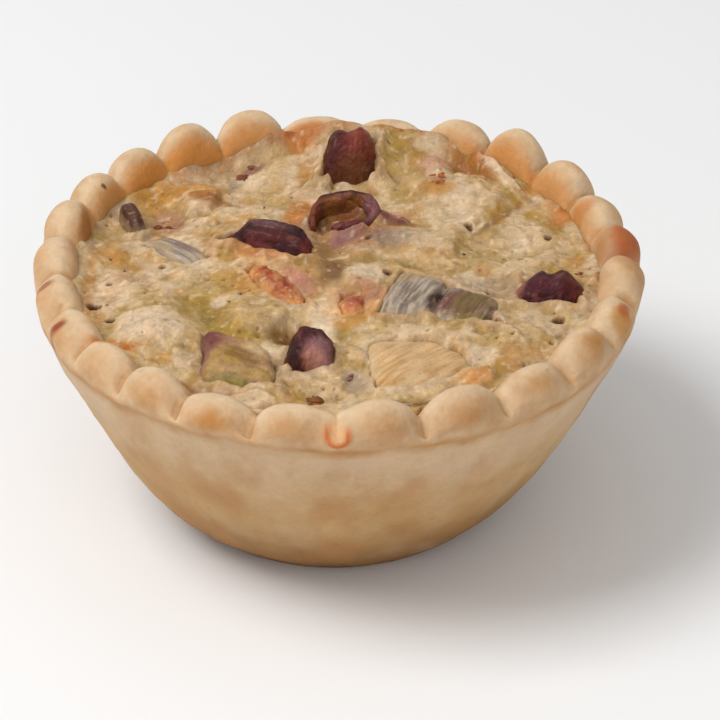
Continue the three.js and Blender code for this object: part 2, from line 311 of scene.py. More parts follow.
def piece(name, points, faces, material, tint, wet, node=None):
    """Makes a piece from points in millimetres, painted with its colour and wetness, riding on the part."""
    mesh = bpy.data.meshes.new(name)
    mesh.from_pydata(((points + AXIS) * MM).tolist(), [], faces)
    mesh.shade_smooth()
    painted = mesh.attributes.new("tint", "FLOAT_COLOR", "POINT")
    painted.data.foreach_set("color", np.c_[tint, np.ones(len(tint))].astype(np.float32).ravel())
    shine = mesh.attributes.new("wet", "FLOAT", "POINT")
    shine.data.foreach_set("value", np.clip(wet, 0, 1).astype(np.float32))
    mesh.materials.append(material)
    made = bpy.data.objects.new(name, mesh)
    bpy.context.scene.collection.objects.link(made)
    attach(made, "root")
    if node:
        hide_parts(node)


# Materials

def add(tree, kind, inputs=None, **settings):
    """Adds a node; its inputs are values, or sockets that are linked in."""
    made = tree.nodes.new(kind)
    for name, value in settings.items():
        setattr(made, name, value)
    for name, value in (inputs or {}).items():
        if isinstance(value, bpy.types.NodeSocket):
            tree.links.new(value, made.inputs[name])
        else:
            made.inputs[name].default_value = value
    return made


def noise_node(tree, coordinates, size, detail=4.0, roughness=0.55):
    """Noise with features of the given size in millimetres."""
    inputs = {"Vector": coordinates, "Scale": 1 / (size * MM), "Detail": detail, "Roughness": roughness}
    return add(tree, "ShaderNodeTexNoise", inputs).outputs["Fac"]


def ranged(tree, value, low, high, start=0.25, end=0.75):
    """A value between start and end spread from low to high."""
    inputs = {"Value": value, "From Min": start, "From Max": end, "To Min": low, "To Max": high}
    return add(tree, "ShaderNodeMapRange", inputs).outputs["Result"]


def product(tree, first, second):
    return add(tree, "ShaderNodeMath", {0: first, 1: second}, operation="MULTIPLY").outputs["Value"]


def shaded(tree, tint, share):
    """A colour made lighter and darker by a factor."""
    inputs = {"Vector": tint, "Scale": share}
    return add(tree, "ShaderNodeVectorMath", inputs, operation="SCALE").outputs["Vector"]


# What a food surface looks like close up: grains of colour, of roughness and of height, in millimetres
Surface = namedtuple("Surface", "grain contrast dry moist bump_size bump_height")
BROAD_GRAINS = 5  # how much wider the broad grains of colour are than the fine ones
ROUGHNESS_RANGE = (0.8, 1.2)  # how the fine grains change the roughness
BUMP_DETAIL, BUMP_ROUGHNESS = 6.0, 0.6
SCATTER = (1.0, 0.55, 0.3)  # how far red, green and blue light spread under the surface, as shares
COAT_ROUGHNESS = 0.22


def food_material(name, surface, subsurface=0.0, depth=1.2, coat=0.0, specular=0.5):
    """A painted food: its colour, roughness and bump all vary finely over the surface."""
    made = bpy.data.materials.new(name)
    made.use_nodes = True
    tree = made.node_tree
    shader = tree.nodes["Principled BSDF"]
    place = add(tree, "ShaderNodeTexCoord").outputs["Object"]
    tint = add(tree, "ShaderNodeAttribute", attribute_name="tint").outputs["Color"]
    wet = add(tree, "ShaderNodeAttribute", attribute_name="wet").outputs["Fac"]

    fine = noise_node(tree, place, surface.grain)
    broad = noise_node(tree, place, surface.grain * BROAD_GRAINS)
    low, high = 1 - surface.contrast, 1 + surface.contrast
    light = product(tree, ranged(tree, fine, low, high), ranged(tree, broad, low, high))
    tree.links.new(shaded(tree, tint, light), shader.inputs["Base Color"])

    base = ranged(tree, wet, surface.dry, surface.moist, 0.0, 1.0)
    grainy = ranged(tree, fine, *ROUGHNESS_RANGE)
    tree.links.new(product(tree, base, grainy), shader.inputs["Roughness"])

    heights = noise_node(tree, place, surface.bump_size, BUMP_DETAIL, BUMP_ROUGHNESS)
    bump = add(tree, "ShaderNodeBump", {"Height": heights, "Distance": surface.bump_height * MM})
    tree.links.new(bump.outputs["Normal"], shader.inputs["Normal"])

    shader.inputs["Subsurface Weight"].default_value = subsurface
    shader.inputs["Subsurface Radius"].default_value = SCATTER
    shader.inputs["Subsurface Scale"].default_value = depth * MM
    shader.inputs["Coat Weight"].default_value = coat
    shader.inputs["Coat Roughness"].default_value = COAT_ROUGHNESS
    shader.inputs["Specular IOR Level"].default_value = specular
    return made


PASTRY = food_material(
    "pastry", Surface(0.7, 0.07, 0.72, 0.5, 0.5, 0.16), subsurface=0.5, depth=1.5, specular=0.18)
CUSTARD = food_material(
    "custard", Surface(0.4, 0.13, 0.6, 0.25, 0.35, 0.2), subsurface=0.6, coat=0.08, specular=0.2)
BACON = food_material(
    "bacon", Surface(0.4, 0.25, 0.55, 0.22, 0.35, 0.25), coat=0.1, specular=0.18)
HAM = food_material(
    "ham", Surface(0.4, 0.15, 0.5, 0.25, 0.5, 0.2), subsurface=0.15, coat=0.1, specular=0.2)
LEEK = food_material(
    "leek", Surface(0.35, 0.14, 0.55, 0.25, 0.4, 0.18), subsurface=0.1, coat=0.1, specular=0.2)
SKIN = food_material(
    "leek_skin", Surface(0.4, 0.2, 0.6, 0.35, 0.4, 0.2), coat=0.1, specular=0.2)
LEAF = food_material(
    "browned_leaf", Surface(0.4, 0.1, 0.6, 0.35, 0.4, 0.14), subsurface=0.1, coat=0.06, specular=0.2)
PEPPER = food_material("pepper", Surface(0.15, 0.3, 0.7, 0.5, 0.15, 0.05))


# Pastry case

def settle(points):
    """The case and filling as they settled in baking: out of round, tilted and off centre."""
    x, y, z = np.moveaxis(points, -1, 0)
    share = np.clip(z / CREASE_Z, 0, 1.2)
    angle = np.arctan2(y, x)
    outward = OVAL * wave(angle, 2, OVAL_DIRECTION) + CORNERED * wave(angle, 3, CORNER_DIRECTION)
    stretch = 1 + share ** 2 * outward / RIM_R
    lift = RIM_TILT * share ** 2 * np.hypot(x, y) / RIM_R * wave(angle, 1, TILT_DIRECTION)
    return np.stack([x * stretch + LEAN * share, y * stretch, z + lift], axis=-1)


def bezier(ends, steps):
    """Points of a cubic curve of radius and height."""
    t = np.linspace(0, 1, steps)[:, None]
    a, b, c, d = (np.array(end, float) for end in ends)
    return (1 - t) ** 3 * a + 3 * t * (1 - t) ** 2 * b + 3 * t ** 2 * (1 - t) * c + t ** 3 * d


COLUMNS_PER_BEAD = 30
WALL_ROWS = 48
RIM_ROWS = 48
CAVITY_ROWS = 6
RIM_START, RIM_END = -38.0, 196.0
CREASE_SOFT = 7  # rows over which the overhang above the crease is rounded off
CREASE_PASSES = 12


def softened(rows, middle):
    """Rows of the section with the corner at the middle row rounded off."""
    soft = rows.copy()
    first, last = middle - CREASE_SOFT, middle + CREASE_SOFT
    for _ in range(CREASE_PASSES):
        soft[first:last] = (soft[first - 1:last - 1] + 2 * soft[first:last] + soft[first + 1:last + 1]) / 4
    return soft


def case_profile():
    """Radius and height down the case's section, with its turn round the rim's ellipse in degrees."""
    foot = np.array([(radius, 0) for radius in FOOT_RINGS])
    wall = bezier([(FOOT_R, WALL_START), *WALL_BEND, (RIM_R - CREASE_STEP, CREASE_Z)], WALL_ROWS)
    turn = np.linspace(RIM_START, RIM_END, RIM_ROWS)
    around = np.radians(turn)
    upright = np.where(around < 0, 0.5 * around, around)
    rim_r = RIM_MIDDLE_R + RIM_WIDTH / 2 * np.cos(upright)
    rim_z = RIM_MIDDLE_Z + (RIM_Z - RIM_MIDDLE_Z) * np.sin(around)
    outside = softened(np.concatenate([wall, np.c_[rim_r, rim_z]]), len(wall))
    cavity = bezier([INNER_TOP, *CAVITY_BEND, (FLOOR_R, CRUST)], CAVITY_ROWS)
    floor = np.array([[MIDDLE_R, CRUST]])
    below = np.full(len(foot) + len(wall), RIM_START)
    inside = np.full(len(cavity) + len(floor), RIM_END)
    return np.concatenate([foot, outside, cavity, floor]), np.concatenate([below, turn, inside])


def bead_places(angle):
    """For each direction round the rim, the bead's number and the place in it from -1 to 1."""
    along = ((angle - math.radians(BEAD_DIRECTION)) / (2 * math.pi) % 1) * BEADS
    return np.round(along).astype(int) % BEADS, 2 * (along - np.round(along))


def bead_cap(place):
    """Round cap from 0 in the notch to 1 at the crest."""
    low = math.sqrt(CAP_FLAT)
    return (np.sqrt(1 - (1 - CAP_FLAT) * place ** 2) - low) / (1 - low)


def crease_lift(angle):
    """How much higher the crease under the beads runs at the front."""
    return CREASE_LIFT * np.exp((wave(angle, 1, LIFT_DIRECTION) - 1) * 2 / LIFT_REACH ** 2)


# A drip of cheese at the front, shaped like a U: where it is, and how it fills the notch that it runs into
DRIP_X, DRIP_Z, DRIP_R = 0.3, 29.6, 1.15
DRIP_RISE, DRIP_RIM_RISE = 0.1, 0.3
DRIP_NOTCH, DRIP_REACH = 18.5, 0.15  # the notch and half the drip's width in it, counted in beads
DRIP_FILL = 0.4


def drip_fill(bead, place):
    """How far the drip fills the notch that it runs into, 0 to 1."""
    return DRIP_FILL * bell(bead + place / 2 - DRIP_NOTCH, DRIP_REACH)


def drip(points):
    """The drip's rim and its inside, 0 to 1 each."""
    x, y, z = np.moveaxis(points, -1, 0)
    aside, up = (x - DRIP_X) / DRIP_R, (z - DRIP_Z) / DRIP_R
    off = np.where(up < 0, np.hypot(aside, up), np.abs(aside)) - 1
    there = smoothstep(z, DRIP_Z + 1.1, DRIP_Z + 0.3) * (y < -25)
    return bell(off, 0.3) * there, smoothstep(off, 0.0, -0.4) * there


def case_points(section, angle):
    """The case's surface as in the solids: section turned, beads pressed in, then crowded and settled."""
    bead, place = bead_places(angle)
    cap = mix(bead_cap(place), 1, drip_fill(bead, place))
    lift = np.array([ODD_BEADS.get(number, 0.0) for number in range(BEADS)])[bead]
    radius = section[:, :1] + 0 * angle
    height = section[:, 1:] + 0 * angle
    share = smoothstep(height, RIM_MIDDLE_Z - CAP_FADE, RIM_Z)
    share[-CAVITY_ROWS - 1:] = 0
    near_crease = bell(height - CREASE_Z, LIFT_FADE)
    near_crease[-CAVITY_ROWS:] = 0
    radius = mix(radius, RIM_MIDDLE_R, NOTCH_PINCH * share * (1 - cap))
    depth = NOTCH_DEPTH + NOTCH_DEEPER * wave(angle, 1, NOTCH_DIRECTION)
    height = height + share * (lift * cap - depth * (1 - cap)) + crease_lift(angle) * near_crease
    crowded = angle + sum(math.radians(most) * wave(angle, times, way) for times, most, way in CROWDING)
    return settle(np.stack([radius * np.cos(crowded), radius * np.sin(crowded), height], axis=-1))


CREASE_GROOVE = 0.12  # depth of the crease under the beads
NOTCH_GROOVE = 0.3  # depth of the groove that runs down the face from a notch
BEAD_STEP = 0.2  # how far a bead's left edge stands over the bead before it
KNUCKLE = 0.3  # swelling of a bead's face
CRUST_SWELL = 0.28  # soft unevenness of the whole case
CRUST_DENT = 0.12  # shallow dents
CRUST_GRAIN = 0.07  # fine unevenness all over
CRUST_PIT = 0.16  # depth of the pits

# Where a point of the case lies: height and turn in the section, bead, place in it, and direction
CasePlace = namedtuple("CasePlace", "height turn bead place angle")


def case_relief(points, at):
    """How far the baked surface stands off the even form, along its normal."""
    x, y, z = np.moveaxis(points, -1, 0)
    open_notch = 1 - drip_fill(at.bead, at.place) / DRIP_FILL
    on_face = smoothstep(at.turn, -12, 28) * smoothstep(at.turn, 120, 60)
    on_bead = smoothstep(at.turn, -34, 14) * smoothstep(at.turn, 110, 60)
    overlap = BEAD_STEP * on_face * at.place * open_notch
    groove = NOTCH_GROOVE * bell(np.abs(at.place) - 1, 0.35) * on_bead * open_notch
    knuckle = KNUCKLE * bell(at.place, 0.55) * bell(at.turn - 18, 28)
    above_crease = at.height - CREASE_Z - 0.2 * np.cos(math.pi * at.place)
    crease = CREASE_GROOVE * bell(above_crease, 0.4) * (at.turn < 150)
    swell = CRUST_SWELL * rough(11, 8.0, 2, x, y, z) * smoothstep(at.height, 0.5, 4)
    dents = CRUST_DENT * noise(41, 3.0, x, y, z)
    grain = CRUST_GRAIN * rough(21, 1.6, 3, x, y, z)
    pits = CRUST_PIT * smoothstep(cells(31, 3.2, x, y, z), 0.16, 0.05)
    drip_rim, drip_inside = drip(points)
    drop = DRIP_RIM_RISE * drip_rim + DRIP_RISE * drip_inside
    relief = swell + dents + grain + knuckle + drop - pits - overlap - groove - crease
    return relief * smoothstep(at.height, 0.02, 0.6)


# Colours of the crust
WALL_TOP = colour(204, 174, 140)
WALL_MIDDLE = colour(190, 152, 104)
WALL_LOW = colour(138, 98, 56)
WALL_TOAST = colour(172, 118, 66)
CREASE_SHADE = colour(178, 126, 68)
BEAD_FACE = colour(199, 164, 126)
BEAD_CREST = colour(214, 187, 152)
BEAD_GOLD = colour(182, 126, 60)
BEAD_INSIDE = colour(206, 136, 56)
DRIP_INSIDE = colour(222, 174, 126)
DRIP_RIM = colour(192, 100, 36)

# Stains that the filling left on the rim, by place seen from above
RIM_STAINS = [
    Spot(-30.9, -13.4, 1.1, 0.9, 35, RUST, 0.9),
    Spot(-33.2, -4.4, 1.1, 0.8, 20, RUST, 0.7),
    Spot(-29.6, 9.4, 0.9, 2.2, 0, TOAST, 0.8),
    Spot(-25.6, -17.4, 2.6, 1.1, -30, ORANGE, 0.9),
    Spot(33.6, -2.6, 2, 2.4, 0, TOAST, 0.5),
    Spot(32.2, 2.4, 3, 3.2, 0, TOAST, 0.55),
    Spot(33.8, 2.8, 2, 3.2, 0, STAIN, 0.85),
    Spot(32.4, -13.4, 1.4, 2, 0, GOLD, 0.7),
    Spot(32.9, -12, 0.9, 1.6, 0, STAIN, 0.8),
    Spot(29.4, 11, 2, 1.6, 30, ORANGE, 0.6),
    Spot(-27.4, 16.6, 0.4, 0.4, 0, UMBER, 0.9),
    Spot(-3.2, 31.4, 3.4, 1.2, 0, ORANGE, 0.8),
]

# Beads whose toast shows well in the photograph, 0 to 1
TOASTED_BEADS = {15: 0.4, 16: 0.55, 17: 1.0, 18: 0.6, 19: 0.5, 20: 0.7, 21: 0.55, 22: 1.0}


def bead_toast():
    """How golden each bead's face is."""
    toast = 0.3 + 0.5 * chance(51, np.arange(BEADS))
    for number, golden in TOASTED_BEADS.items():
        toast[number] = golden
    return toast


def inner_toast(angle):
    """How brown the rim's inner face is: most at the back, where it faces the heat."""
    left, right = bell(angle - math.radians(128), 0.7), bell(angle - math.radians(45), 0.5)
    return np.clip(0.15 + 0.75 * left + 0.6 * right, 0, 1)


def wall_tint(x, y, z, height, mottle):
    """The wall's colours: darker and browner towards the foot, partly as painted shade, with toasted and
    pale patches.
    """
    level = height + 4 * mottle
    toasted = rough(63, 5.0, 4, x, y, 0.6 * z)
    tint = mix(WALL_LOW, WALL_MIDDLE, smoothstep(level, 1, 15)[..., None])
    return lay(
        tint,
        (WALL_TOP, 1, level, 13, 27),
        (WALL_TOAST, 0.5, toasted, -0.15, 0.5),
        (WALL_TOP, 0.25, toasted, -0.05, -0.5),
    )


def rim_tint(tint, points, at, mottle, fine):
    """The beads' colours laid over the wall's: pale crests and edges, partly painted highlight, golden
    faces, painted shade on each bead's right side and in the seams, and a brown inside.
    """
    x, y, z = np.moveaxis(points, -1, 0)
    on_rim = smoothstep(at.height, CREASE_Z - 0.2, CREASE_Z + 1.2)
    tint = paint(tint, on_rim, BEAD_FACE)
    aside = np.abs(at.place)
    # paler crests and bead edges: less browned, and partly a painted highlight where they catch the light
    crest = bell(at.turn - 92 + 10 * fine, 40) + 0.4 * smoothstep(aside + 0.2 * fine, 0.5, 1.0)
    tint = paint(tint, 0.8 * on_rim * crest, BEAD_CREST)
    grainy = rough(75, 1.5, 3, x, y, z)
    tint = lay(tint, (BEAD_GOLD, 0.25 * on_rim, grainy, 0, 0.5), (BEAD_CREST, 0.4 * on_rim, grainy, 0, -0.5))
    patch_turn = 24 + 28 * smoothstep(x, 12, 30)
    gold = bell(at.place + 0.2 * mottle, 0.52) * bell(at.turn - patch_turn + 18 * fine, 30)
    tint = paint(tint, 0.9 * on_rim * gold * bead_toast()[at.bead], BEAD_GOLD)
    return lay(
        tint,
        # painted shade on the right side of each bead and in the seams between beads
        (BEAD_GOLD, 0.3 * bell(at.turn - 50, 40), at.place, 0.5, 1.0),
        (BEAD_GOLD, 0.45 * on_rim * smoothstep(at.turn, -10, 20), aside + 0.08 * fine, 0.88, 1.0),
        (BEAD_INSIDE, 0.95 * inner_toast(at.angle), at.turn + 14 * fine, 102, 152),
    )


def case_tint(points, at):
    """The case's colours: wall and rim, painted shade along the crease, freckles, the drip and the stains.
    """
    x, y, z = np.moveaxis(points, -1, 0)
    mottle = rough(61, 7.0, 4, x, y, z)
    fine = rough(71, 1.8, 3, x, y, z)
    tint = wall_tint(x, y, z, at.height, mottle)
    tint = rim_tint(tint, points, at, mottle, fine)
    # painted shade along the crease under the beads
    line = bell(at.height - CREASE_Z - 0.5 + 0.4 * fine + 0.5 * mottle, 0.75) * (at.turn < 90)
    tint = paint(tint, line * (0.7 + 0.6 * mottle), CREASE_SHADE)
    freckled = chance(91, np.floor(x / 3), np.floor(z / 3)) > 0.5
    tint = lay(tint, (TOAST, 0.2 * freckled, cells(81, 2.6, x, y, z), 0.2, 0.08))
    drip_rim, drip_inside = drip(points)
    tint = paint(tint, 0.8 * drip_inside, DRIP_INSIDE)
    tint = paint(tint, 0.95 * drip_rim, DRIP_RIM)
    stained = paint_spots(tint, RIM_STAINS, 5, x, y)
    return mix(tint, stained, smoothstep(at.height, CREASE_Z, CREASE_Z + 1.5)[..., None])


CASE_WET = 0.25


def baked_case():
    section, turn = case_profile()
    columns = BEADS * COLUMNS_PER_BEAD
    angle = np.arange(columns) * 2 * math.pi / columns
    at = CasePlace(section[:, 1:] + 0 * angle, turn[:, None] + 0 * angle, *bead_places(angle), angle)
    even = case_points(section, angle)
    points = even + ring_normals(even) * case_relief(even, at)[..., None]
    tint = case_tint(points, at).reshape(-1, 3)
    number = np.arange(len(tint)).reshape(-1, columns)
    piece("baked_case", points.reshape(-1, 3), quads(ring(number).T).tolist(), PASTRY,
          tint, np.full(len(tint), CASE_WET), "pastry_case")


# Pieces in the filling, as in the solids: corners seen from above (near left, near right, far right and
# far left), height of the edge and of the top, how round the outline is and how steep the sides are
Morsel = namedtuple("Morsel", "corners low high round steep")
MORSELS = {
    "bacon_left": Morsel(((-13.9, 6.2), (-1.8, 1.4), (-2.9, 8), (-12.2, 9.2)), 28.4, 32.6, 0.6, 4),
    "bacon_back": Morsel(((-1.5, 22.4), (5.2, 21.8), (5.6, 28.6), (-1.4, 28.2)), 28.6, 35.2, 0.5, 4),
    "bacon_right": Morsel(((20.6, -7), (28.2, -8.4), (29.3, -2.2), (21.2, -2.4)), 28.3, 32, 0.8, 3),
    "bacon_front": Morsel(((-5.3, -22.8), (0.5, -21.6), (-0.6, -16.8), (-5.5, -16.4)), 28, 32.4, 0.3, 5),
    "ham_left": Morsel(((-11.4, 0.2), (-5.2, -8), (-2.3, -5.6), (-9.2, 3)), 28.2, 30.9, 0.7, 2.5),
    "ham_centre": Morsel(((0, -10.2), (3.3, -10.8), (5, -5.2), (0.6, -4.6)), 28, 30.6, 0.8, 2.5),
    "leek_front": Morsel(((-14.8, -23.8), (-6.2, -26.6), (-6.4, -19.6), (-15, -14.6)), 27.8, 31.6, 0.2, 6),
    "leek_right": Morsel(((4.4, -10.2), (18.2, -13.8), (19.3, -7.6), (7.8, -0.6)), 28.6, 31, 0.15, 8),
    "leek_left": Morsel(((-22.9, 7.6), (-16.8, 1.2), (-13.8, 4), (-20, 10.2)), 28.3, 29.8, 0.3, 5),
    "leek_back": Morsel(((-26, 14.4), (-23.9, 9.6), (-22, 10.6), (-23.8, 15.9)), 28.6, 31.2, 0.5, 4),
    "leek_leaf": Morsel(((3.6, -27.4), (17.2, -22.2), (11.8, -14.8), (3.2, -15.4)), 28.4, 29.9, 0.4, 4),
}
CURL_PATH = [
    (-0.4, 9.6), (1.8, 9.6), (3.9, 10.2), (5.0, 11.7), (3.8, 13.3), (1.3, 13.8), (-1.0, 13.3), (-2.4, 11.8),
    (-2.5, 9.4),
]
CURL_THICKNESS = 1.5
CURL_LEVEL = 29.8
CURL_LOW, CURL_TALL = 1.0, 2.8  # half its height along the front of its loop and at the back


def beside_morsel(x, y, morsel):
    """How far outside a piece's four sides each point of the plane is, below zero inside them."""
    far = np.full_like(x, -99.0)
    for (ax, ay), (bx, by) in itertools.pairwise((*morsel.corners, morsel.corners[0])):
        length = math.hypot(bx - ax, by - ay)
        far = np.maximum(far, ((x - ax) * (by - ay) - (y - ay) * (bx - ax)) / length)
    return far


def beside_curl(x, y):
    """How far outside the curled strip each point of the plane is."""
    near = np.full_like(x, 99.0)
    for (ax, ay), (bx, by) in itertools.pairwise(CURL_PATH):
        share = ((x - ax) * (bx - ax) + (y - ay) * (by - ay)) / ((bx - ax) ** 2 + (by - ay) ** 2)
        share = np.clip(share, 0, 1)
        near = np.minimum(near, np.hypot(x - mix(ax, bx, share), y - mix(ay, by, share)))
    return near - CURL_THICKNESS / 2


# Filling

# A soft hill, hollow or hole in the top: its middle, how far it reaches, and its height or depth
Form = namedtuple("Form", "x y reach height")
FORMS = [
    Form(0, 0, 21, 0.9), Form(13, 21, 11, 1.2), Form(16, 25, 2.6, -1.6), Form(-17, 23, 7, -0.7),
    Form(-5.4, -12.8, 2.6, -2.2), Form(-14.4, -7.4, 3.6, -1.5), Form(-20, -13, 6, 0.8), Form(6, 5, 6, 0.7),
    Form(21, -14, 5, 0.6), Form(-9, -9, 3.6, 0.6), Form(-16.2, 20.2, 3.6, 1), Form(1, 31, 6, 2.4),
    Form(9, 30, 5, 1.8), Form(16, 29, 4, 1), Form(-9, 30, 4, 0.8), Form(2.4, 20.4, 3, -1),
]
HOLES = [
    Form(-27.5, -6.5, 0.95, 1.3), Form(-25.5, -9.5, 0.5, 0.7), Form(18.6, -13.4, 0.6, 1),
    Form(25.4, -10.8, 0.8, 1.1), Form(16, 10.2, 0.6, 0.8), Form(6.3, -0.8, 0.5, 0.9),
    Form(25.3, 8.5, 0.5, 0.6), Form(22, 4, 0.4, 0.5), Form(-20, 2.5, 0.45, 0.5), Form(-26, -1.5, 0.4, 0.5),
    Form(-10.6, -5, 0.35, 0.5), Form(4.2, 5.8, 0.6, 0.6), Form(20, -16, 0.35, 0.5),
    Form(24.3, -16.5, 0.35, 0.5),
]
# Flakes that stand out: middle, half length and width, direction of the raised end, rise, shade
Flake = namedtuple("Flake", "x y long wide turn rise shade")
FLAKES = [
    Flake(14.6, 15.6, 5, 6.4, -38, 1, 0.15), Flake(10.4, 4.6, 4.8, 4.4, -10, 0.9, 0.1),
    Flake(-20.6, -12.4, 4.8, 4, 170, 0.9, 0), Flake(-22.5, -3.5, 6.2, 3.8, -35, 0.7, 0.3),
    Flake(-13, 14.8, 5.4, 2, -15, 0.8, 0.05), Flake(-8.8, -9.6, 5, 3.2, -95, 1.2, 0.75),
    Flake(21.5, -17, 4.6, 3.4, 30, 0.8, 0.35), Flake(24, 7, 4.4, 3.6, 60, 0.7, 0.3),
    Flake(-16.4, 19.4, 4.2, 3, -70, 1.7, 0.9), Flake(3.6, -2, 2.8, 2.6, -90, 0.9, 0),
    Flake(-1, 20.4, 4, 2.2, 200, 0.6, 0.2), Flake(20.2, 21.2, 6.2, 0.9, 126, 1.6, 0.1),
    Flake(19.6, 8, 4, 3.4, 0, 0.7, 0.1), Flake(6.6, 11.4, 2.8, 1.2, -25, 0.9, 0.6),
    Flake(15.2, -24.6, 3.2, 2.2, 40, 1.3, 0.9), Flake(-2.2, -25.2, 2.4, 2.4, -90, 0.8, 0.6),
    Flake(3.4, 6, 4.4, 2.4, -80, 0.7, 0.5), Flake(-9.6, 12.4, 3.4, 1.6, -60, 0.6, 0.1),
    Flake(1.4, 11.4, 2.4, 1.2, 0, 1.6, 0.6), Flake(11.6, -14.6, 6, 1.7, -15, 0.8, 0.2),
    Flake(1.8, 8.5, 3, 1, 0, 1.4, 0.6), Flake(-1.9, 21.8, 1.9, 1.5, 40, 1.7, 0.5),
    Flake(5.8, 21.2, 1.9, 1.5, 130, 1.7, 0.4), Flake(-11, -27.6, 4.4, 1.5, -18, 0.9, 0.2),
]
FLAKE_RISE = 0.8  # share of a flake's rise that stands out of the custard
FLAKE_EDGE, FLAKE_CORE = 1.08, 0.68  # where a flake ends and where it is full, in half lengths
LOOSE_FLAKES, FLAKE_SPREAD = 24, 28  # number of strewn flakes, and how far out they lie
SHREDS, SHRED_SPREAD = 60, 29  # the same for the shreds
SHRED_TURN = 6.3  # the widest turn drawn for a shred, in radians
CURDS = [(151, 4.6, 0.4), (171, 1.8, 0.16), (175, 0.8, 0.08)]  # seed, width and height of the curds
CURD_REACH = 0.72  # how far a curd reaches from its middle, as a share of its width
LIP = 0.85  # how far the custard climbs round a piece
FLAT_PIECES = ("leek_leaf", "leek_left", "ham_left", "ham_centre")  # lying flush in the custard
FLAT_LIP = 0.3  # how far the custard rises round these
SUNK = 1.8  # how far it drops under a piece
FILL_EDGE = 31.3
FILL_STEPS = 296
SKIRT_BEND = ((21.5, 7.6), (19.6, 6.4))  # handles of the curve of the filling's side
SKIRT_ROWS = 6
SKIRT_GAP = 0.1
RELIEF_MEAN = 0.48  # so that the fine relief adds no height on the whole


def lump_draw(i, j):
    """The height drawn for a corner of the lumps' grid, 0 to 1, as in the solids."""
    across, along, seed, spread = LUMP_HASH
    drawn = np.sin(i * across + j * along + LUMP_SEED * seed) * spread
    return drawn - np.floor(drawn)


def lumps(x, y):
    """The broad lumps of the filling, as in the solids."""
    u, v = x / LUMP_SIZE, y / LUMP_SIZE
    i, j = np.floor(u), np.floor(v)
    a, b = smoothstep(u - i, 0, 1), smoothstep(v - j, 0, 1)
    low = mix(lump_draw(i, j), lump_draw(i + 1, j), a)
    high = mix(lump_draw(i, j + 1), lump_draw(i + 1, j + 1), a)
    return LUMP / 2 * (2 * mix(low, high, b) - 1)


def broad_top(x, y):
    """Height of the filling's top before its fine relief, as in the solids."""
    z = FILL_Z + lumps(x, y)
    for form in FORMS:
        z = z + form.height * bell(np.hypot(x - form.x, y - form.y), form.reach)
    return z


def loose_flakes():
    """Torn flakes strewn over the whole top."""
    draw = np.random.default_rng(12)
    for _ in range(LOOSE_FLAKES):
        far, way = FLAKE_SPREAD * math.sqrt(draw.random()), draw.uniform(0, 2 * math.pi)
        turn, long, wide = draw.uniform(0, 360), draw.uniform(1.8, 4.2), draw.uniform(1.1, 2.4)
        rise, shade = draw.uniform(0.3, 0.7), draw.random()
        yield Flake(far * math.cos(way), far * math.sin(way), long, wide, turn, rise, shade)


def flakes(x, y):
    """Flakes lying on each other: their height, the shade of the uppermost, and their raised edges."""
    height, shade, edges = np.zeros_like(x), np.full_like(x, 0.5), np.zeros_like(x)
    wobble = 0.3 * rough(101, 2.4, 3, x, y)
    for flake in [*FLAKES, *loose_flakes()]:
        along, across = turned(x - flake.x, y - flake.y, math.radians(flake.turn))
        along = along / flake.long
        out = (np.abs(along) ** 3 + np.abs(across / flake.wide) ** 3) ** (1 / 3) + wobble
        lift = FLAKE_RISE * flake.rise * (0.55 + 0.45 * along) * smoothstep(out, FLAKE_EDGE, FLAKE_CORE)
        higher = lift > height
        height = np.where(higher, lift, height)
        shade = np.where(higher, flake.shade, shade)
        edges = np.where(higher, 0, edges)
        rim = bell(out - 1.05, 0.13) * np.clip(0.35 + 0.7 * along, 0, 1) * min(flake.rise / 0.7, 1.0)
        edges = np.maximum(edges, rim * (lift >= height - 0.25))
    return height, shade, edges


def shreds(x, y):
    """Thin shreds of cheese and onion melted into the top: their height and an own shade each."""
    draw = np.random.default_rng(23)
    height, shade = np.zeros_like(x), np.full_like(x, 0.5)
    for _ in range(SHREDS):
        far, way = SHRED_SPREAD * math.sqrt(draw.random()), draw.uniform(0, SHRED_TURN)
        turn = draw.uniform(0, SHRED_TURN)
        long, wide = draw.uniform(0.8, 3.0), draw.uniform(0.35, 0.75)
        curve, own = draw.uniform(-0.12, 0.12), draw.random()
        along, across = turned(x - far * math.cos(way), y - far * math.sin(way), turn)
        across = across - curve * along ** 2
        out = np.hypot(np.maximum(np.abs(along) - long, 0), across) / wide
        lift = wide * 0.4 * np.clip(1 - out ** 2, 0, 1)
        higher = lift > height
        height = np.where(higher, lift, height)
        shade = np.where(higher, own, shade)
    return height, shade


def curds(x, y):
    """Height of the rounded curds, of three sizes."""
    u, v = ragged(161, x, y)
    height = 0
    for seed, size, tall in CURDS:
        height = height + tall * np.clip(1 - (cells(seed, size, u, v) / CURD_REACH) ** 2, 0, 1)
    return height


def beside_pieces(x, y):
    """How far outside the nearest standing piece each point is, below zero under one."""
    gaps = [beside_morsel(x, y, morsel) for name, morsel in MORSELS.items() if name not in FLAT_PIECES]
    return np.minimum.reduce([*gaps, beside_curl(x, y)])


def hole_depth(x, y):
    """Bubbles that burst in the oven."""
    depth = np.zeros_like(x)
    for hole in HOLES:
        far = np.hypot(x - hole.x, y - hole.y) * (1 + 0.3 * noise(191, 1.0, x, y))
        depth = np.maximum(depth, hole.height * smoothstep(far, hole.reach * 1.15, hole.reach * 0.6))
    pin = smoothstep(cells(192, 2.2, x, y), 0.13, 0.07) * (rough(193, 5, 2, x, y) > 0.3)
    return np.maximum(depth, 0.3 * pin)


# The filling's fine relief, and what its colours go by
Relief = namedtuple("Relief", "height shade edge hole gap")


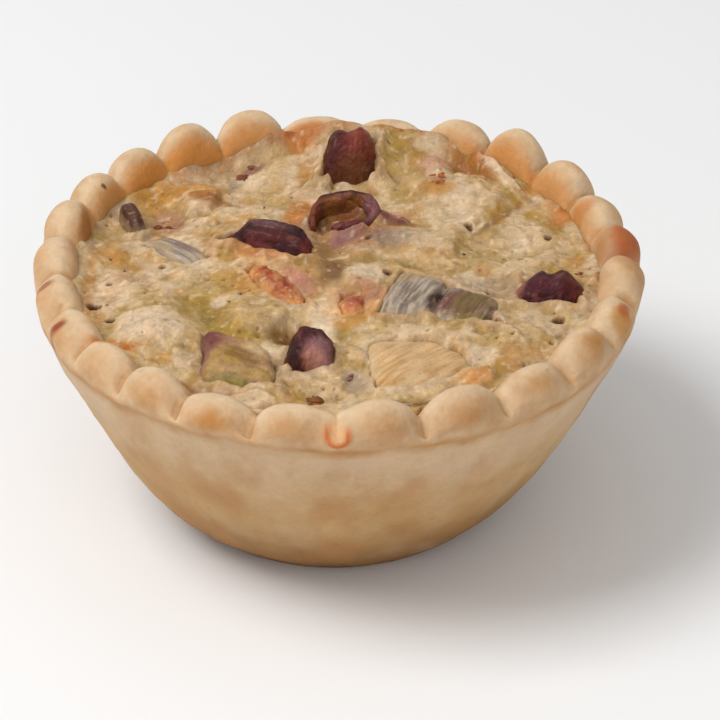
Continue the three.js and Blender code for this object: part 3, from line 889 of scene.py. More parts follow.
def filling_relief(x, y):
    flake, flake_shade, edge = flakes(x, y)
    shred, shred_shade = shreds(x, y)
    hole = hole_depth(x, y)
    gap = beside_pieces(x, y) + 0.6 * rough(185, 2.0, 2, x, y)
    lip = LIP * (0.7 + 0.8 * rough(187, 2.5, 2, x, y)) * bell(gap - 0.1, 0.9)
    under = smoothstep(gap, -0.3, -1.6)
    for name in FLAT_PIECES:
        beside = beside_morsel(x, y, MORSELS[name]) + 1.3 * rough(189, 2.4, 3, x, y)
        lip = np.maximum(lip, FLAT_LIP * smoothstep(beside, 3.5, 0.5))
        under = np.maximum(under, smoothstep(beside, -0.2, -1.4))
    height = (flake + shred + curds(x, y)) * (1 - under) - hole + lip - SUNK * under - RELIEF_MEAN
    return Relief(height, np.where(shred > 0.05, shred_shade, flake_shade), edge, hole, gap)


# Stains and patches of the top, laid over each other in this order; some are painted shade or painted
# highlight
FILL_SPOTS = [
    Spot(0.6, 3, 6, 7.5, 0, SHADED_CUSTARD, 0.45),
    Spot(-14.2, -2.4, 3.4, 3.6, 10, OLIVE, 0.45),
    Spot(-16.6, 20.2, 4, 3, 20, GOLD, 0.9),
    Spot(-22, 20, 2.5, 4, 30, GOLD, 0.7),
    Spot(-14.8, 17.6, 3.4, 1.6, -16, TOAST, 0.9),
    Spot(-16.2, 20.6, 3, 1.4, -10, AMBER, 0.8),
    Spot(-4.4, 14.6, 1.7, 4, -10, ORANGE, 0.85),
    Spot(-2.2, 16.2, 1.6, 1.2, 0, RUST, 0.7),
    Spot(-3.6, 25, 1.3, 2.6, 0, GOLD, 0.7),
    Spot(-9.8, 26.6, 2, 1, 20, LEEK_PLUM, 0.75),
    Spot(-12.3, 23.4, 1, 2.6, 0, GREY, 0.6),
    Spot(-3.6, 30.6, 3, 1.6, 0, ORANGE, 0.8),
    Spot(-5.6, 31.4, 1.4, 0.9, 0, RUST, 0.7),
    Spot(8, 30, 3.2, 2.2, 0, OLIVE, 0.6),
    Spot(6.8, 26, 1.4, 3.2, -10, OLIVE, 0.6),
    Spot(13.4, 29, 1.6, 1.2, 0, RUST, 0.5),
    Spot(17.4, 24, 4.6, 2.8, -40, TOAST, 0.85),
    Spot(12.4, 20, 1.8, 1.6, 0, RUST, 0.5),
    Spot(12.2, 24.4, 2, 1.6, 0, ROSE, 0.5),
    Spot(20.6, 21.4, 5.6, 0.8, 126, MILK_AND_HIGHLIGHT, 0.8),
    Spot(27.8, 13, 2.8, 1.8, 30, ORANGE, 0.75),
    Spot(25.4, 19.4, 2.4, 2, -40, GOLD, 0.7),
    # painted shadow line under the pale flake's edge
    Spot(19.6, 12.4, 5.4, 0.6, 52, BROWN, 0.6),
    Spot(14.4, 15.6, 4.4, 4.4, 0, MILK_AND_HIGHLIGHT, 0.45),
    Spot(12.4, 18.6, 3, 1.8, -30, GOLD, 0.8),
    Spot(22.3, 9.6, 3.2, 2.6, 0, MILK_AND_HIGHLIGHT, 0.6),
    Spot(26.6, 5, 2, 2.6, 0, CREAM, 0.7),
    Spot(17.4, 3.4, 3, 2.2, 30, OLIVE, 0.5),
    Spot(17.3, 0, 1.4, 2, 0, GOLD, 0.6),
    Spot(18, -3.8, 2.8, 2.6, 0, LEEK_LINE, 0.25),
    Spot(-3.8, 9.6, 2.6, 2.4, 0, MAUVE, 0.4),
    Spot(28.6, 3.4, 1.6, 1.8, 0, GOLD, 0.9),
    Spot(9.4, 13.4, 2, 3, 0, GOLD, 0.5),
    Spot(3.2, 6.8, 4.4, 2.8, 0, FLESH, 0.85),
    Spot(1.4, 7.4, 2.2, 1.6, 0, MAUVE, 0.5),
    Spot(4.4, 5.4, 2, 1.2, 0, SHADED_CUSTARD, 0.5),
    Spot(7.2, 10.8, 3.2, 1.5, -22, LEEK_PLUM, 0.9),
    Spot(6.6, 12.8, 2.6, 1.2, -25, ROSE, 0.8),
    Spot(1.4, 11.6, 2.8, 1.8, 0, CRUST_BROWN, 0.95),
    Spot(-1.2, 10.8, 1, 1.8, 0, BROWN, 0.9),
    Spot(6.8, 6, 3, 2.6, 0, GREY, 0.6),
    Spot(-1.4, 3.6, 2, 3.4, 10, SHADED_CUSTARD, 0.8),
    Spot(0, -1, 1.6, 2.4, 0, BROWN, 0.75),
    Spot(3.6, -1.8, 2.6, 2.4, 10, MILK_AND_HIGHLIGHT, 0.85),
    Spot(-1, -10.8, 1.9, 5, -4, GLINT, 0.7),
    Spot(1.4, -14.2, 1.4, 1.8, 0, OLIVE, 0.6),
    Spot(-14.4, -7.6, 2.8, 4.6, 20, OLIVE, 0.9),
    Spot(-12, -13, 3.2, 1.5, -25, OLIVE, 0.8),
    Spot(-14.8, -9.4, 1.8, 3.2, 10, MOSS, 0.45),
    # painted shade in the hollow under the custard lobe
    Spot(-5.6, -13.6, 1.2, 1.8, 0, BROWN, 0.9),
    Spot(0.4, 7.4, 1.8, 1.2, 0, MAUVE, 0.5),
    Spot(-8.8, -9.6, 3, 3.4, -10, STRAW, 0.7),
    Spot(-9.4, -3.6, 4.6, 2, -48, GOLD, 0.6),
    Spot(-7.2, -2.4, 6.2, 2.8, -52, AMBER, 0.75),
    Spot(-3.6, -3.4, 2.4, 2.4, 0, FLESH, 0.5),
    Spot(-8.8, 3.4, 3.8, 1.6, -20, ORANGE, 0.6),
    Spot(-4.4, -2, 3, 1, -45, ROSE, 0.7),
    Spot(2.4, -7.6, 4.2, 4.4, 10, AMBER, 0.7),
    Spot(3, -6, 3.2, 2.6, 0, FLESH, 0.7),
    Spot(2.2, -11.6, 2, 1.4, 0, GOLD, 0.8),
    # painted highlight in the olive hollow
    Spot(-13.2, -6.4, 0.9, 1.2, 0, MILK_AND_HIGHLIGHT, 0.8),
    Spot(-20.5, -13, 4.6, 3.4, 10, MILK_AND_HIGHLIGHT, 0.8),
    Spot(-24.6, -16.4, 2.6, 1.3, -25, ORANGE, 0.95),
    Spot(-17, -24, 2.4, 0.8, -30, RUST, 0.7),
    Spot(-28.4, -2, 0.9, 9, 0, GOLD, 0.7),
    Spot(-25, 4, 4, 1.4, -50, GOLD, 0.6),
    Spot(-26.6, 6, 2.2, 3.6, 20, GOLD, 0.6),
    Spot(-24.4, 0.4, 3.2, 1.4, -40, TOAST, 0.35),
    Spot(-22, 11.8, 2.6, 1, -40, SHADED_CUSTARD, 0.5),
    Spot(-20.2, 13.8, 2.2, 2.8, 0, FLESH, 0.6),
    Spot(-20.5, -8.6, 5, 0.8, 12, OLIVE, 0.7),
    Spot(-16, -11, 1.4, 6, 5, STRAW, 0.6),
    Spot(-4, -25.5, 3.6, 2, 20, SHADED_CUSTARD, 0.25),
    Spot(2.2, -24, 1.4, 3, 20, GREY, 0.6),
    # painted shadow under the leaf's lower edge
    Spot(8.5, -29.4, 2.6, 1, 0, BROWN, 0.9),
    Spot(15.4, -24.8, 2.8, 1.6, 35, AMBER, 0.9),
    Spot(16.6, -24.2, 1.6, 0.8, 35, TOAST, 0.4),
    Spot(19.4, -22, 2, 1.4, 30, GOLD, 0.5),
]


def filling_tint(x, y, relief, crevice, hollow):
    """The custard's colours: cream and straw, browned at its edge, painted shade in hollows, crevices and
    round the pieces, painted highlights on crests, and the spots laid over.
    """
    small = rough(121, 1.2, 3, x, y)
    strewn = rough(111, 8.0, 3, x, y) + 0.6 * (relief.shade - 0.5) + 0.2 * small
    tint = lay(
        mix(CREAM, STRAW, smoothstep(strewn, -0.4, 0.6)[..., None]),
        (GOLD, 0.6, rough(131, 4.6, 4, x, y), 0.06, 0.35),
        (OLIVE, 0.6, rough(135, 4.0, 4, x, y), 0.1, 0.36),
        (MILK_AND_HIGHLIGHT, 0.6, rough(141, 3.6, 4, x, y), 0.03, 0.3),
        # painted shade in the hollows, painted highlight on the crests, painted shade round the standing
        # pieces
        (SHADED_CUSTARD, 0.6, hollow + 0.1 * small, 0.02, 0.45),
        (MILK_AND_HIGHLIGHT, 0.4, hollow + 0.1 * small, -0.05, -0.5),
        (SHADED_CUSTARD, 0.4, relief.gap + 1.4 * small, 1.8, 0.0),
    )
    tint = paint_spots(tint, FILL_SPOTS, 6, x, y)
    browned = 0.7 * smoothstep(rough(145, 6.0, 2, x, y), -0.3, 0.3) * (0.2 + 0.8 * smoothstep(y, -22, -6))
    tint = lay(
        tint,
        (TOAST, browned, np.hypot(x, y) + small, FILL_EDGE - 1.5, FILL_EDGE),
        # painted shade in the crevices
        (TOAST, 0.35, crevice, 0.04, 0.25),
    )
    # painted shade under the flakes' raised edges and in the holes, painted glints, and pores darkened with
    # painted shade
    tint = lay(
        paint(tint, 0.4 * relief.edge, OLIVE),
        (HOLE_SHADE, 0.9, relief.hole, 0.1, 0.55),
        (GLINT, 0.35, noise(125, 0.55, x, y), 0.45, 0.85),
        (SHADED_CUSTARD, 0.35, noise(127, 0.65, x, y), 0.5, 0.9),
    )
    return uneven(tint, 0.1 * noise(123, 0.45, x, y) + 0.16 * small)


def blurred(field, times):
    """A square field of values, each averaged with its neighbours again and again."""
    for _ in range(times):
        wide = np.pad(field, 1, mode="edge")
        field = (wide[:-2, 1:-1] + wide[2:, 1:-1] + wide[1:-1, :-2] + wide[1:-1, 2:] + 2 * field) / 6
    return field


def disc(steps):
    """A square grid drawn out to a disc of radius 1: places, the loop of points round its edge, quads."""
    line = np.linspace(-1, 1, steps + 1)
    a, b = np.meshgrid(line, line, indexing="ij")
    x, y = a * np.sqrt(1 - b * b / 2), b * np.sqrt(1 - a * a / 2)
    number = np.arange(a.size).reshape(a.shape)
    loop = np.concatenate([number[:-1, 0], number[-1, :-1], number[:0:-1, -1], number[0, :0:-1]])
    return x.ravel(), y.ravel(), loop, quads(number)


def filling_skirt(edge_points):
    """The filling's sides under its edge, down the inside of the case, and the middle of its bottom."""
    top = (INNER_TOP[0] - SKIRT_GAP, INNER_TOP[1])
    wall = bezier([top, *SKIRT_BEND, (FLOOR_R - SKIRT_GAP, CRUST + SKIRT_GAP)], SKIRT_ROWS)
    way = np.arctan2(edge_points[:, 1], edge_points[:, 0])
    rows = [settle(np.stack([r * np.cos(way), r * np.sin(way), z + 0 * way], axis=-1)) for r, z in wall]
    return np.concatenate([*rows, [(0.0, 0.0, CRUST + SKIRT_GAP)]])


CREVICE_BLUR, HOLLOW_BLUR = 10, 90
SKIRT_WET = 0.4


def baked_filling():
    u, v, loop, top_faces = disc(FILL_STEPS)
    flat = settle(np.stack([FILL_EDGE * u, FILL_EDGE * v, FILL_Z + 0 * u], axis=-1))
    x, y = flat[:, 0], flat[:, 1]
    relief = filling_relief(x, y)
    climb = 0.6 + 0.7 * rough(203, 4.0, 2, x, y) + 0.6 * smoothstep(y, 5, 20)
    z = broad_top(x, y) + relief.height + climb * smoothstep(np.hypot(u, v), 0.92, 1.0)
    square = z.reshape(FILL_STEPS + 1, -1)
    # how far each point lies below its surroundings, near and wider: the painted shade and highlights of the
    # top go by it
    crevice, hollow = [(blurred(square, times) - square).ravel() for times in (CREVICE_BLUR, HOLLOW_BLUR)]
    tint = filling_tint(x, y, relief, crevice, hollow)
    wet = 0.5 + 0.6 * rough(201, 2.0, 3, x, y)

    top = np.stack([x, y, z], axis=-1)
    skirt = filling_skirt(top[loop])
    points = np.concatenate([top, skirt])
    numbers = len(top) + np.arange(SKIRT_ROWS * len(loop)).reshape(SKIRT_ROWS, -1)
    rows = ring(np.concatenate([loop[None, :], numbers]))
    bottom = [[len(points) - 1, after, before] for before, after in itertools.pairwise(rows[-1].tolist())]
    faces = [*top_faces.tolist(), *quads(rows).tolist(), *bottom]
    tint = np.concatenate([tint, np.tile(STRAW, (len(skirt), 1))])
    wet = np.concatenate([wet, np.full(len(skirt), SKIRT_WET)])
    piece("baked_filling", points, faces, CUSTARD, tint, wet, "filling")


# Shapes of the pieces

MORSEL_STEPS = (110, 84)
EDGE_WOBBLE = 0.2
BELLY = 0.5  # how far a piece's underside bulges below its edge


def between(corners, p, q):
    """Points of a four-sided patch for places from -1 to 1 along and across it."""
    a, b, c, d = (np.array(corner) for corner in corners)
    u, v = ((p + 1) / 2)[..., None], ((q + 1) / 2)[..., None]
    return (1 - v) * mix(a, b, u) + v * mix(d, c, u)


def spread(steps):
    """Places from -1 to 1, closer together towards both ends."""
    return np.sin(np.linspace(-math.pi / 2, math.pi / 2, steps + 1))


def morsel_shape(node, seed, top):
    """A piece over its four corners: points, places along and across with its side, and quads.

    The function top gives the share of the piece's height at each place.
    """
    morsel = MORSELS[node]
    p, q = np.meshgrid(spread(MORSEL_STEPS[0]), spread(MORSEL_STEPS[1]), indexing="ij")
    at_edge = np.maximum(np.abs(p), np.abs(q)) ** 4
    wobble = 1 + at_edge * EDGE_WOBBLE * rough(seed, 0.6, 3, p, q)
    u = wobble * p * np.sqrt(1 - morsel.round * q * q / 2)
    v = wobble * q * np.sqrt(1 - morsel.round * p * p / 2)
    x, y = np.moveaxis(between(morsel.corners, u, v), -1, 0)
    dome = np.sqrt((1 - np.abs(p) ** morsel.steep) * (1 - np.abs(q) ** morsel.steep))
    upper = np.stack([x, y, morsel.low + (morsel.high - morsel.low) * dome * top(p, q)], axis=-1)
    lower = np.stack([x, y, morsel.low - BELLY * dome], axis=-1)

    # The two sides share the points of the edge
    inner = np.pad(np.ones((p.shape[0] - 2, p.shape[1] - 2), bool), 1)
    number = np.arange(p.size).reshape(p.shape)
    under = number.copy()
    under[inner] = p.size + np.arange(inner.sum())
    above = np.stack([p, q, np.ones_like(p)], axis=-1)
    below = np.stack([p, q, np.zeros_like(p)], axis=-1)
    points = np.concatenate([upper.reshape(-1, 3), lower[inner]])
    places = np.concatenate([above.reshape(-1, 3), below[inner]])
    return points, places, np.concatenate([quads(number), quads(under[::-1])])


def cube_sphere(steps):
    """Directions spread over a sphere as six square patches with shared edges."""
    line = np.tan(np.linspace(-math.pi / 4, math.pi / 4, steps + 1))
    a, b = np.meshgrid(line, line, indexing="ij")
    one = np.ones_like(a)
    sides = [(one, a, b), (-one, b, a), (b, one, a), (a, -one, b), (a, b, one), (b, a, -one)]
    points = np.concatenate([np.stack(side, axis=-1).reshape(-1, 3) for side in sides])
    number = np.arange(a.size).reshape(a.shape)
    faces = np.concatenate([quads(number + side * a.size) for side in range(len(sides))])
    _, first, place = np.unique(np.round(points, 6), axis=0, return_index=True, return_inverse=True)
    return unit_vectors(points[first]), place.ravel()[faces]


CURL_STEPS = 64
CURL_SQUARE = 3.0  # how square the strip's section is
CURL_SAMPLES, CURL_SMOOTH = 200, 10  # places along the path, and how many on each side it is smoothed over


def curl_path(share):
    """Place and direction on the strip's path, smoothed, for shares from 0 to 1 of its length."""
    fine = np.linspace(0, 1, CURL_SAMPLES)
    window = np.ones(2 * CURL_SMOOTH + 1) / (2 * CURL_SMOOTH + 1)
    way = []
    for axis in np.array(CURL_PATH).T:
        straight = np.interp(fine, np.linspace(0, 1, len(CURL_PATH)), axis)
        longer = np.pad(straight, CURL_SMOOTH, mode="reflect", reflect_type="odd")
        way.append(np.convolve(longer, window, "valid"))
    ahead = np.gradient(np.array(way), axis=1)
    ahead = ahead / np.linalg.norm(ahead, axis=0)
    return [np.interp(share, fine, axis) for axis in (*way, *ahead)]


def curl_shape():
    """The strip of bacon standing on its edge, curled along its path: points and quads."""
    way, faces = cube_sphere(CURL_STEPS)
    unit = way / (np.abs(way) ** CURL_SQUARE).sum(axis=1, keepdims=True) ** (1 / CURL_SQUARE)
    share = np.clip((unit[:, 0] + 1) / 2, 0, 1)
    x, y, ahead_x, ahead_y = curl_path(share)
    across = unit[:, 1] * CURL_THICKNESS / 2 * (1 + 0.3 * np.sin(6 * math.pi * share))
    tall = mix(CURL_LOW, CURL_TALL, smoothstep(share, 0.25, 0.5) - 0.6 * smoothstep(share, 0.75, 1.0))
    z = CURL_LEVEL + unit[:, 2] * tall
    return np.stack([x - ahead_y * across, y + ahead_x * across, z], axis=-1), faces


def fibres(seed, points, direction, width, length):
    """Noise drawn out along a direction in the plane: fibres as wide and long as given, in millimetres."""
    along, across = turned(points[:, 0], points[:, 1], math.radians(direction))
    return noise(seed, 1.0, along / length, across / width, points[:, 2] / (4 * width))


# Bacon

DARK_MEAT = colour(66, 18, 20)
MEAT = colour(104, 36, 28)
BLACKISH = colour(34, 9, 13)
FAT = colour(178, 118, 100)
PLUM = colour(72, 26, 36)
CRISP = colour(122, 62, 38)


def slice_top(p, q):
    """A long slice: pointed and low at its left, thick and blunt at its right, with a groove along it."""
    groove = 0.14 * bell(q - 0.1 + 0.2 * p, 0.16)
    return (0.9 + 0.1 * q - groove) * (1 - 0.4 * smoothstep(p, -0.3, -1.0))


def chunk_top(p, q):
    """A chunk with an uneven top: two soft lobes side by side, the right one taller."""
    lobes = 0.07 * bell(p + 0.45, 0.3) + 0.12 * bell(p - 0.4, 0.34)
    return 0.84 + lobes * bell(q - 0.1, 0.8) + 0.05 * rough(325, 0.7, 3, p, q)


def lobed_top(p, q):
    """Two lobes side by side."""
    lobes = 0.28 * bell(p + 0.3, 0.3) + 0.3 * bell(p - 0.36, 0.3)
    return 0.66 + lobes + 0.06 * rough(335, 0.5, 2, p, q)


def wedge_top(p, q):
    """A wedge: its left face steep, its front face sloping."""
    left = np.maximum(-0.35 - p, 0)
    front = np.maximum(0.2 - q, 0)
    return 1 - 0.6 * left - 0.34 * front + 0.04 * rough(345, 0.5, 2, p, q)


# A piece of bacon: its name, its node, seed, direction of its grain, form of its top and spots; the curl
# has a form of its own
Lardon = namedtuple("Lardon", "name node seed direction top spots")
LARDONS = [
    Lardon("lardon_left", "bacon_left", 301, -18, slice_top, [
        Spot(-7.6, 6.4, 5.6, 2.8, -14, BLACKISH, 0.45),
        # a painted highlight streak along the top
        Spot(-8.2, 7.2, 3.6, 0.5, -16, MAUVE, 0.5),
        Spot(-12.9, 6.4, 1.6, 0.7, -25, FAT, 0.6),
        Spot(-2.8, 3.6, 1.2, 2.6, -10, MEAT, 0.8),
        Spot(-8.6, 4.2, 3, 0.5, -22, LEEK_PLUM, 0.8),
    ]),
    Lardon("lardon_curl", "bacon_centre", 311, 20, None, [
        Spot(1.2, 14, 3.4, 1.2, 0, BLACKISH, 0.5),
        Spot(1.2, 12.8, 3, 0.8, 0, TOAST, 0.5),
        Spot(-2.3, 10.8, 1.4, 2.6, 0, CRISP, 0.9),
        Spot(4.7, 11.4, 1.4, 2.2, 0, MAUVE, 0.6),
        Spot(1.8, 9.7, 3.2, 1, 0, LEEK_PLUM, 0.8),
    ]),
    Lardon("lardon_back", "bacon_back", 321, 80, chunk_top, [
        Spot(2.2, 25, 4, 4, 0, MEAT, 0.7),
        Spot(-0.6, 24, 1.2, 3, 0, BLACKISH, 0.5),
        Spot(3.4, 25, 2, 3, 0, RUST, 0.7),
        # painted shade at the foot of the chunk
        Spot(2.2, 22, 3.4, 0.8, 0, BROWN, 0.6),
    ]),
    Lardon("lardon_right", "bacon_right", 331, 60, lobed_top, [
        Spot(28.8, -3.8, 0.8, 2.6, 0, RUST, 0.9),
        Spot(21, -5, 0.9, 1.8, 0, ROSE, 0.6),
        Spot(25.6, -8.2, 1.8, 0.6, -10, FAT, 0.5),
        Spot(24.2, -5.6, 3.4, 2.6, 0, PLUM, 0.6),
    ]),
    Lardon("lardon_front", "bacon_front", 341, 40, wedge_top, [
        Spot(-1.4, -20.4, 2, 1.8, 0, MAUVE, 0.9),
        Spot(-2.4, -21.4, 1.2, 1.4, 0, ROSE, 0.6),
        Spot(0.2, -20.6, 0.7, 2.2, 0, MEAT, 0.8),
        Spot(-4.8, -19.6, 0.8, 4, 6, BLACKISH, 0.9),
    ]),
]


def bacon(lardon):
    """A dark piece of bacon with fleshy grain, wrinkles and wet edges."""
    seed = lardon.seed
    if lardon.top:
        points, _, faces = morsel_shape(lardon.node, seed, lardon.top)
    else:
        points, faces = curl_shape()
    grain = fibres(seed, points, lardon.direction, 0.5, 3.0)
    wrinkle = smoothstep(np.abs(rough(seed + 2, 1.8, 2, *points.T)), 0.16, 0.0)
    bumps = 0.26 * rough(seed + 1, 2.2, 3, *points.T) + 0.14 * rough(seed + 7, 0.9, 3, *points.T)
    points = raised(points, faces, bumps + 0.06 * grain - 0.08 * wrinkle)
    patchy = rough(seed + 3, 2.0, 3, *points.T)
    tint = lay(
        mix(DARK_MEAT, MEAT, smoothstep(0.7 * grain + patchy, -0.3, 0.8)[:, None]),
        (BLACKISH, 0.7, rough(seed + 4, 2.4, 3, *points.T), 0.0, 0.5),
        (CRISP, 0.6, rough(seed + 6, 1.8, 3, *points.T), 0.1, 0.5),
    )
    tint = paint_spots(tint, lardon.spots, seed, points[:, 0], points[:, 1])
    tint = lay(tint, (FAT, 0.2, grain - patchy, 0.7, 1.2))
    wet = 0.6 + 0.6 * rough(seed + 5, 1.0, 2, *points.T)
    piece(lardon.name, points, faces.tolist(), BACON, tint, wet, lardon.node)


# Ham

HAM_RED = colour(150, 62, 36)
HAM_PINK = colour(176, 96, 74)
HAM_GOLD = colour(176, 108, 54)


def edge_share(places, seed, size, much, points):
    """How near each point is to a piece's edge, 1 on it, made uneven by noise."""
    nearest = np.maximum(np.abs(places[:, 0]), np.abs(places[:, 1]))
    return nearest + much * rough(seed, size, 3, *points.T)


def ham(name, node, seed, spots):
    """A cooked piece of fatty ham, orange to pink, melting into the filling at its edges."""
    points, places, faces = morsel_shape(node, seed, lambda p, q: 0.72 + 0.15 * q)
    relief = 0.45 * rough(seed, 1.8, 3, *points.T) + 0.14 * rough(seed + 1, 0.7, 2, *points.T)
    points = raised(points, faces, relief)
    tint = mix(HAM_RED, HAM_GOLD, smoothstep(rough(seed + 2, 2.2, 3, *points.T), -0.3, 0.6)[:, None])
    tint = lay(
        paint_spots(tint, spots, seed, points[:, 0], points[:, 1]),
        (AMBER, 0.5, rough(seed + 8, 1.4, 3, *points.T), 0.0, 0.4),
        # painted glints
        (MILK_AND_HIGHLIGHT, 0.45, noise(seed + 9, 0.5, *points.T), 0.4, 0.8),
    )
    tint = uneven(tint, 0.25 * rough(seed + 4, 0.8, 2, *points.T))
    tint = lay(tint, (AMBER, 0.85, edge_share(places, seed + 5, 1.2, 0.5, points), 0.4, 0.95))
    wet = 0.6 + 0.4 * rough(seed + 3, 1.2, 2, *points.T)
    piece(name, points, faces.tolist(), HAM, tint, wet, node)


def ham_pieces():
    ham("ham_band", "ham_left", 351, [
        Spot(-10, 0.8, 2.4, 1.8, -45, ORANGE, 0.8),
        Spot(-6.8, -1.8, 3, 1.4, -48, HAM_RED, 0.9),
        Spot(-3.6, -5.8, 1.4, 2.2, 20, HAM_PINK, 0.9),
        Spot(-8.4, -3.4, 3.4, 0.7, -52, HAM_GOLD, 0.8),
    ])
    ham("ham_nub", "ham_centre", 361, [
        Spot(3, -6.8, 1.8, 2.4, 0, HAM_RED, 0.9),
        Spot(1.4, -8.8, 1, 1.8, 0, HAM_PINK, 0.7),
    ])


# Leek

STRAND = colour(90, 56, 42)
LEAF_TAN = colour(203, 166, 120)
WEDGE_SPOTS = [
    Spot(-13.6, -17, 2, 2.8, 20, LEEK_PLUM, 0.95),
    Spot(-14.8, -20, 1, 2.6, 0, MAUVE, 0.7),
    Spot(-10.6, -18.6, 2.6, 0.8, -28, ROSE, 0.5),
    Spot(-8, -20.2, 2.2, 1.4, -30, CREAM, 0.6),
    Spot(-10.4, -21.4, 2.8, 1, -30, BROWN, 0.5),
    Spot(-11.5, -25, 4.8, 1.4, -20, LEEK_GREEN, 0.9),
]


def melted(places, seed, points):
    """Where custard has run over a piece's edge, 0 to 1."""
    return smoothstep(edge_share(places, seed, 1.6, 0.35, points), 0.7, 1.0)


def leek_top(p, q):
    """The top of the thick wedge, lower towards the front."""
    return 0.82 + 0.18 * q - 0.1 * smoothstep(q, -0.2, -0.8) + 0.06 * rough(376, 0.5, 2, p, q)


def leek_wedge():
    """The thick leek wedge in front: maroon skin on its left, beige above, green towards its lower edge."""
    points, places, faces = morsel_shape("leek_front", 371, leek_top)
    lines = fibres(371, points, -28, 0.35, 4.0)
    relief = 0.08 * lines + 0.26 * rough(372, 2.0, 3, *points.T) + 0.1 * rough(379, 0.7, 2, *points.T)
    points = raised(points, faces, relief)
    patchy = rough(373, 2.4, 3, *points.T)
    tint = mix(OLIVE, LEEK_PALE, smoothstep(0.4 * lines + patchy, -0.7, 0.3)[:, None])
    tint = paint_spots(tint, WEDGE_SPOTS, 374, points[:, 0], points[:, 1])
    tint = lay(
        tint,
        (BROWN, 0.35, lines, 0.3, 0.8),
        (CREAM, 0.5 * melted(places, 377, points), places[:, 0], 0.2, 0.8),
    )
    tint = uneven(tint, 0.25 * rough(378, 0.7, 2, *points.T))
    wet = 0.6 + 0.4 * rough(375, 1.4, 2, *points.T)
    piece("leek_wedge", points, faces.tolist(), LEEK, tint, wet, "leek_front")


# A leaf's look: direction and width of its fibres, height of its ridges, its two stripe colours, contrast,
# and how much of its edge is covered with custard
LeafLook = namedtuple("LeafLook", "direction width ridge light dark contrast melt")


def leaf_piece(name, node, seed, material, look, spots, top):
    """A cooked leaf with ridged fibres, striped along them and painted over in spots."""
    points, places, faces = morsel_shape(node, seed, top)
    lines = fibres(seed, points, look.direction, look.width, 8 * look.width)
    broad = fibres(seed + 1, points, look.direction, 3 * look.width, 12 * look.width)
    points = points + np.outer(look.ridge * (lines + 0.7 * broad) * places[:, 2], (0, 0, 1))
    tint = np.tile(look.light, (len(points), 1))
    tint = lay(tint, (look.dark, look.contrast, lines + 0.6 * broad, 0.5, -0.7))
    tint = paint_spots(tint, spots, seed, points[:, 0], points[:, 1])
    tint = uneven(tint, 0.16 * lines + 0.1 * rough(seed + 2, 1.2, 2, *points.T))
    tint = paint(tint, look.melt * melted(places, seed + 3, points), CREAM)
    # painted glints
    tint = lay(tint, (MILK_AND_HIGHLIGHT, 0.25, noise(seed + 4, 0.4, *points.T), 0.45, 0.8))
    piece(name, points, faces.tolist(), material, tint, 0.6 + 0.4 * broad, node)


def wavy(phase):
    """The top of a leaf that lies in soft waves."""
    def top(p, q):
        return 0.85 + 0.12 * np.sin(2.6 * p + phase) + 0.08 * np.cos(3.3 * q + phase)

    return top


def folded(p, q):
    """The top of the leek slice: a deep fold across its middle, its right half lower."""
    return 0.82 + 0.16 * smoothstep(p, 0.02, -0.18) - 0.3 * bell(p + 0.06, 0.05) + 0.05 * np.cos(3 * q)


def leek_pieces():
    leek_wedge()
    strip = LeafLook(66, 0.26, 0.09, LEEK_SILVER, LEEK_LINE, 0.65, 0.3)
    leaf_piece("leek_strip", "leek_right", 381, LEEK, strip, [
        Spot(15.4, -9.4, 3.6, 3.4, 20, BROWN, 0.8),
        Spot(15.8, -8.6, 2.6, 2.4, 20, MOSS, 0.5),
        Spot(13.2, -8.6, 3.4, 0.8, 63, LEEK_PLUM, 0.6),
        Spot(11.9, -8.6, 4, 0.35, 63, UMBER, 0.9),
        Spot(16, -12.6, 2.8, 0.9, -12, LEEK_GREEN, 0.8),
        Spot(8.6, -3.4, 1.4, 1.4, 0, OLIVE, 0.5),
    ], folded)
    sheet = LeafLook(-43, 0.3, 0.06, LEEK_SILVER, GREY, 0.95, 0.2)
    leaf_piece("leek_sheet", "leek_left", 391, LEEK, sheet, [
        Spot(-20.8, 6.4, 3, 0.7, -45, STRAW, 0.5),
        Spot(-17.2, 5.6, 2.6, 0.7, -35, MAUVE, 0.5),
        Spot(-15.4, 3.2, 1.6, 1.8, 0, CREAM, 0.4),
    ], wavy(1.4))
    strand = LeafLook(-72, 0.4, 0.2, STRAND, UMBER, 0.85, 0.3)
    leaf_piece("leek_strand", "leek_back", 401, SKIN, strand, [], lambda p, q: 0.85 - 0.15 * p)
    leaf = LeafLook(46, 0.26, 0.03, LEAF_TAN, GOLD, 0.4, 0.8)
    leaf_piece("browned_leaf", "leek_leaf", 411, LEAF, leaf, [
        Spot(14.6, -22.6, 2.4, 1.6, 30, GOLD, 0.8),
        Spot(8, -16, 4.4, 1.6, 0, CREAM, 0.5),
        Spot(6, -26, 2.4, 2.4, 0, GOLD, 0.5),
    ], wavy(2.6))


# Small things on the filling

# Crumbs lying together: middle, how far they spread, their number, size and colour
Crumbs = namedtuple("Crumbs", "x y reach number size tint")
CRUMBS = [
    Crumbs(-2.3, -27.8, 0.9, 3, 0.9, CRUST_BROWN), Crumbs(1.6, -23.4, 0.6, 2, 0.5, MAUVE),
    Crumbs(-20.2, 13.8, 1, 3, 0.8, CRUST_BROWN), Crumbs(-10.4, 26.8, 1.3, 4, 0.8, LEEK_PLUM),
    Crumbs(12.4, 20.4, 1.4, 5, 0.6, STAIN), Crumbs(28.7, -0.4, 0.6, 2, 0.6, RUST),
]
CRUMB_STEPS, CRUMB_WET = 10, 0.4
SPECKS, SPECK_SPREAD = 26, 28  # their number, and how far out they lie
SPECK_STEPS, SPECK_WET = 4, 0.3
SQUAT = np.array([1.0, 0.8, 0.4])  # a pebble's length, width and height
SINK = 0.1  # how far it sinks into the filling, in sizes
